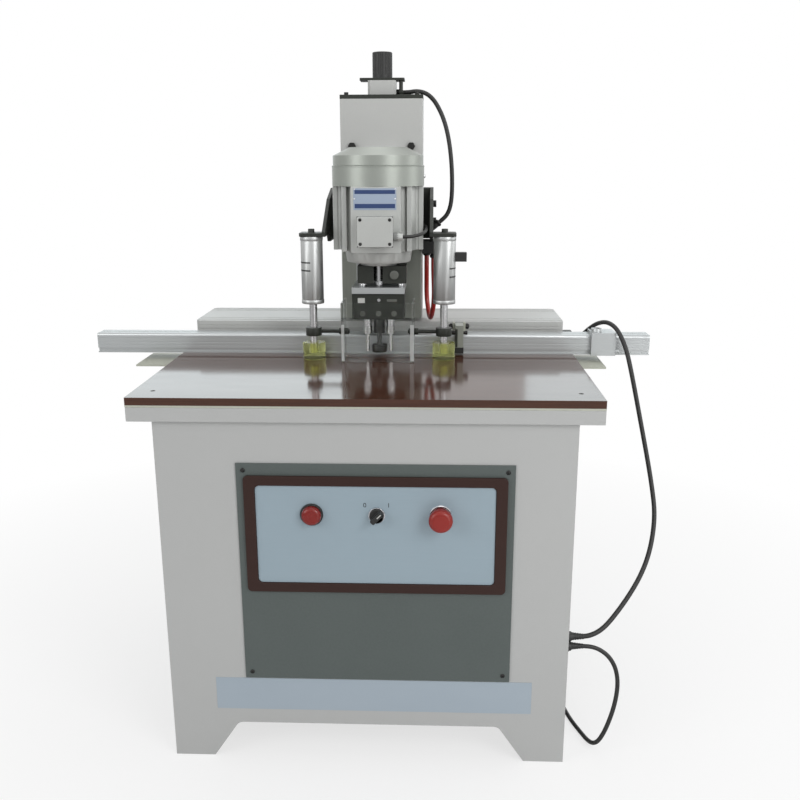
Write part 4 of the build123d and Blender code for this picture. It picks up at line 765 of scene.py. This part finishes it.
def motor_pieces():
    """Bare name plate with its two bands and rivets, lid screws, cover screws and gland of the lead."""
    body = "boring_head"
    plate = slab("name_plate", -46, 43, 290.1, 291, 1108, 1152, 0.3)
    dress(plate, body, plate_blue)
    bands = [slab("band", -43.5, 40.5, 289.9, 290.2, 1140.5, 1148.5, 0.1, 1),
             slab("band", -43.5, 40.5, 289.9, 290.2, 1111.5, 1120.5, 0.1, 1)]
    dress(joined("name_plate_bands", bands), body, band_blue)
    rivets = turned("rivet", [(1.6, 0), (1.5, 0.5), (0.8, 0.9)], 16)
    places = [(x, 290.1, z) for x in (-43.8, 40.8) for z in (1130.5, 1150)]
    dress(set_out(rivets, "plate_rivets", places, FRONT), body, finishes["bright_steel"])
    places = [(x, 259, z) for x in (-30.5, 30.5) for z in (1040.5, 1089.5)]
    dress(set_out(cross_screw(3.4, 2), "lid_screws", places, FRONT), body, finishes["dark_fastener"])
    rim = slab("lid_gasket", -37.4, 37.4, 261.4, 262.6, 1033.6, 1096.4, 0.5)
    dress(rim, body, finishes["black_plastic"])
    profile = [(8.6, 0), (9.2, 0.8), (9.2, 7), (8.2, 8), (8.2, 10), (7, 14), (4.4, 19)]
    nut = turned("lead_nut", profile, 12, 25)
    dress(set_out(nut, "lead_nut", [(37.2, 276.5, 1054)], RIGHT), body, lead_grey)

    screws = []
    for angle in (0, 80, 160):
        a = radians(angle)
        screw = set_out(cross_screw(4, 3.6), "cover_screw",
                        [(99 * cos(a), MOTOR_Y + 99 * sin(a), 1175)], Matrix.Rotation(a, 4, "Z") @ RIGHT)
        screws.append(screw)
    dress(joined("fan_cover_screws", screws), body, finishes["bright_steel"])
    profile = [(99.4, 1194.2), (100.1, 1195), (100.1, 1196.6), (97.4, 1198.2)]
    bead = turned("cover_bead", profile, 96)
    dress(set_out(bead, "cover_bead", [(0, MOTOR_Y, 0)], UP), body, finishes["fan_cover_steel"])


def head_pieces():
    """Marks, caps and screws on gearbox and coupling housing, collars of the spindle noses."""
    body = "boring_head"
    dress(slab("gearbox_mark", -45, -29.5, 350.4, 351, 904.5, 915.5, 0.2), body, mark_white)
    dress(set_out(socket_screw(3.6, 2.4), "gearbox_screw", [(1.5, HEAD_FACE_Y, 911)], FRONT), body,
          finishes["bright_steel"])
    profile = [(6.2, 0), (6.2, 0.8), (5.6, 1.4), (4.4, 1.4), (4, 0.9), (2.4, 0.9), (2, 1.5)]
    cap = turned("bearing_cap", profile, 32)
    places = [(x, HEAD_FACE_Y, 881) for x in (-35, 0.5, 35)]
    dress(set_out(cap, "bearing_caps", places, FRONT), body, dull_steel)
    dress(set_out(socket_screw(9.6, 1.6), "coupling_screw", [(35.5, 351.2, 966)], FRONT), body, dull_steel)
    dress(slab("gearbox_plate", 19, 41, 350.4, 351, 907.5, 913, 0.2), body, dull_steel)

    collar = [(9.6, 0), (10.2, 0.6), (10.2, 5), (9.4, 5.6), (9.4, 6.6), (10.2, 7.2), (10.2, 11), (9.6, 11.6)]
    for x, spindle in ((-26, "left_side_spindle"), (26, "right_side_spindle")):
        ring = set_out(turned("nose_collar", collar, 32), spindle.replace("spindle", "collar"),
                       [(x, 384, 836)], UP)
        dress(ring, spindle, finishes["bright_steel"])
    sleeve = [(12.1, 0), (12.4, 0.4), (12.4, 9), (13, 9.6), (13, 15), (12.4, 15.6), (12.4, 34), (12.1, 34.6)]
    sleeve = set_out(turned("nose_sleeve", sleeve, 48), "nose_sleeve", [(0, MOTOR_Y, 832)], UP)
    dress(sleeve, "main_spindle", finishes["tool_steel"])


def hold_down_pieces():
    """Urethane pads, whitish corner strips of the guard as a painted highlight of its clear walls seen
    edge-on, ends and bands of the cylinders, hose collars.
    """
    profile = [(23.6, 0), (25, 1.6), (25, 12), (24.6, 12.6), (25, 13.2), (25, 35.6), (23.4, 38), (10.5, 38),
               (9.4, 36.8), (9.2, 15)]
    places = [(x, y, TABLE_Z) for x, y in HOLD_DOWNS]
    pads = set_out(turned("pad", profile, 64), "urethane_pads", places, UP)
    dress(pads, "hold_down", finishes["pad_urethane"])
    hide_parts("clamp_pads")
    # Frosted strips at the guard's two front corners: a painted highlight standing in for the bright look of
    # its clear side walls seen edge-on.
    strips = [slab("strip", *sides, 315.6, 317.8, 781, 862, 0.8) for sides in ((-79.5, -73), (71, 79.5))]
    dress(joined("guard_highlight_strips", strips), "hold_down", frosted_highlight)

    caps = []
    tube_r = 23.8
    places = [(x, y, 0) for x, y in HOLD_DOWNS]
    for low_z, high_z in ((903.2, 911.8), (1040, 1048.8)):
        ends = [(24.2, low_z), (24.7, low_z + 0.8), (24.7, high_z - 0.8), (24.2, high_z)]
        cap = bored(turned("end_cap", ends, 64), tube_r, low_z - 5, high_z + 5)
        caps.append(set_out(cap, "end_cap", places, UP))
    dress(joined("clamp_end_caps", caps), "frame", finishes["cylinder_tube"])
    rings = []
    left_bands = (976.3, 993.6), (-146, -110)
    right_bands = (963, 981.2), (110, 156)
    for (x, y), (heights, bare_side) in zip(HOLD_DOWNS, (left_bands, right_bands)):
        for z in heights:
            ring = turned("band", [(24.15, -1.6), (24.35, -1.3), (24.35, 1.3), (24.15, 1.6)], 64)
            ring = set_out(bored(ring, tube_r, -5, 5), "band", [(x, y, z)], UP)
            cut(ring, slab("bare_side", *bare_side, y - 30, y + 30, z - 5, z + 5))
            rings.append(ring)
    dress(joined("clamp_bands", rings), "frame", finishes["black_plastic"])
    fittings = []
    collar = [(8.2, 0), (8.6, 0.6), (8.6, 5), (7.4, 6.4), (6, 6.4)]
    fittings.append(set_out(turned("collar", collar, 24), "collar", [(39, 585, 1361)], RIGHT))
    slope = Matrix.Rotation(radians(90 - 39), 4, "Y")
    fittings.append(set_out(turned("collar", collar, 24), "collar", [(129.2, 550, 1063.5)], slope))
    ports = [(121, 455, 1000), (105, 509, 1000)]
    fittings.append(set_out(turned("collar", collar, 24), "collar", ports, DOWN))
    dress(joined("hose_collars", fittings), "frame", finishes["dark_fastener"])


def stop_pieces():
    """Dark shoe, a dark strip over the blade's left edge, nuts on its pin and the set screw through its
    blade.
    """
    body = "flip_stop"
    dress(slab("stop_shoe", 171.4, 190.6, 398.9, 411.7, 781.6, 796, 0.8), body, finishes["black_plastic"])
    # Dark strip wrapped over the left edge of the blade's front face and round its left side.
    dress(slab("stop_edge", 171.5, 177, 399, 411.6, 796.5, 838, 0.4), body, finishes["black_metal"])
    nut = turned("pin_nut", [(6.4, 0), (7, 0.6), (7, 5.4), (5.2, 7.4), (2.6, 8.6)], 6, 20)
    left_nut = twin(nut)
    metal = [set_out(nut, "pin_nut", [(195.9, PIN_Y, PIN_Z)], RIGHT),
             set_out(left_nut, "pin_nut", [(166.1, PIN_Y, PIN_Z)], LEFT)]
    screw = turned("screw_end", [(3.6, 0), (3.6, 4), (4.8, 4.4), (4.8, 9), (4.2, 9.8)], 28)
    metal.append(set_out(screw, "screw_end", [(189.6, SET_SCREW_Y, SET_SCREW_Z)], RIGHT))
    head = socket_screw(4.8, 13.6)
    metal.append(set_out(head, "screw_end", [(172.2, SET_SCREW_Y, SET_SCREW_Z)], LEFT))
    dress(joined("stop_fasteners", metal), body, finishes["dark_fastener"])


def profile_pieces():
    """Fence and rear beam with the long flutes of their profiles."""
    fence = merged_copy("fence", "fluted_fence")
    for z, half in ((812.5, 0.5), (803, 1), (796, 0.6)):
        cut(fence, slab("flute", -660, 620, 411, 412.9, z - half, z + half, 0.25, 1))
    for y, half in ((424, 0.7), (437, 2.6), (450, 0.7)):
        cut(fence, slab("flute", -660, 620, y - half, y + half, 821.9, 824, 0.25, 1))
    dress(fence, "frame", finishes["fence_aluminium"])
    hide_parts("fence")
    soften(fence, 0.5)

    beam = rounded_block("fluted_beam", -443, 427, 480, 676, 763, 842, 14)
    cut(beam, slab("hollow", -439, 423, 484, 672, 760, 838))
    for y, half in ((499, 3), (522, 2), (636, 2), (657, 3)):
        cut(beam, slab("flute", -460, 440, y - half, y + half, 840, 843, 0.25, 1))
    for z, half in ((831, 1.5), (822, 2.5), (806, 2)):
        cut(beam, slab("flute", -460, 440, 479, 482, z - half, z + half, 0.25, 1))
    dress(beam, "frame", finishes["frame_paint"])
    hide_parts("rear_beam")
    soften(beam, 1.0)


photo_camera()
studio_world()
studio_floor()
studio_lights()
paint_solids()
cords()
cabinet_pieces()
control_pieces()
motor_pieces()
head_pieces()
hold_down_pieces()
stop_pieces()
profile_pieces()
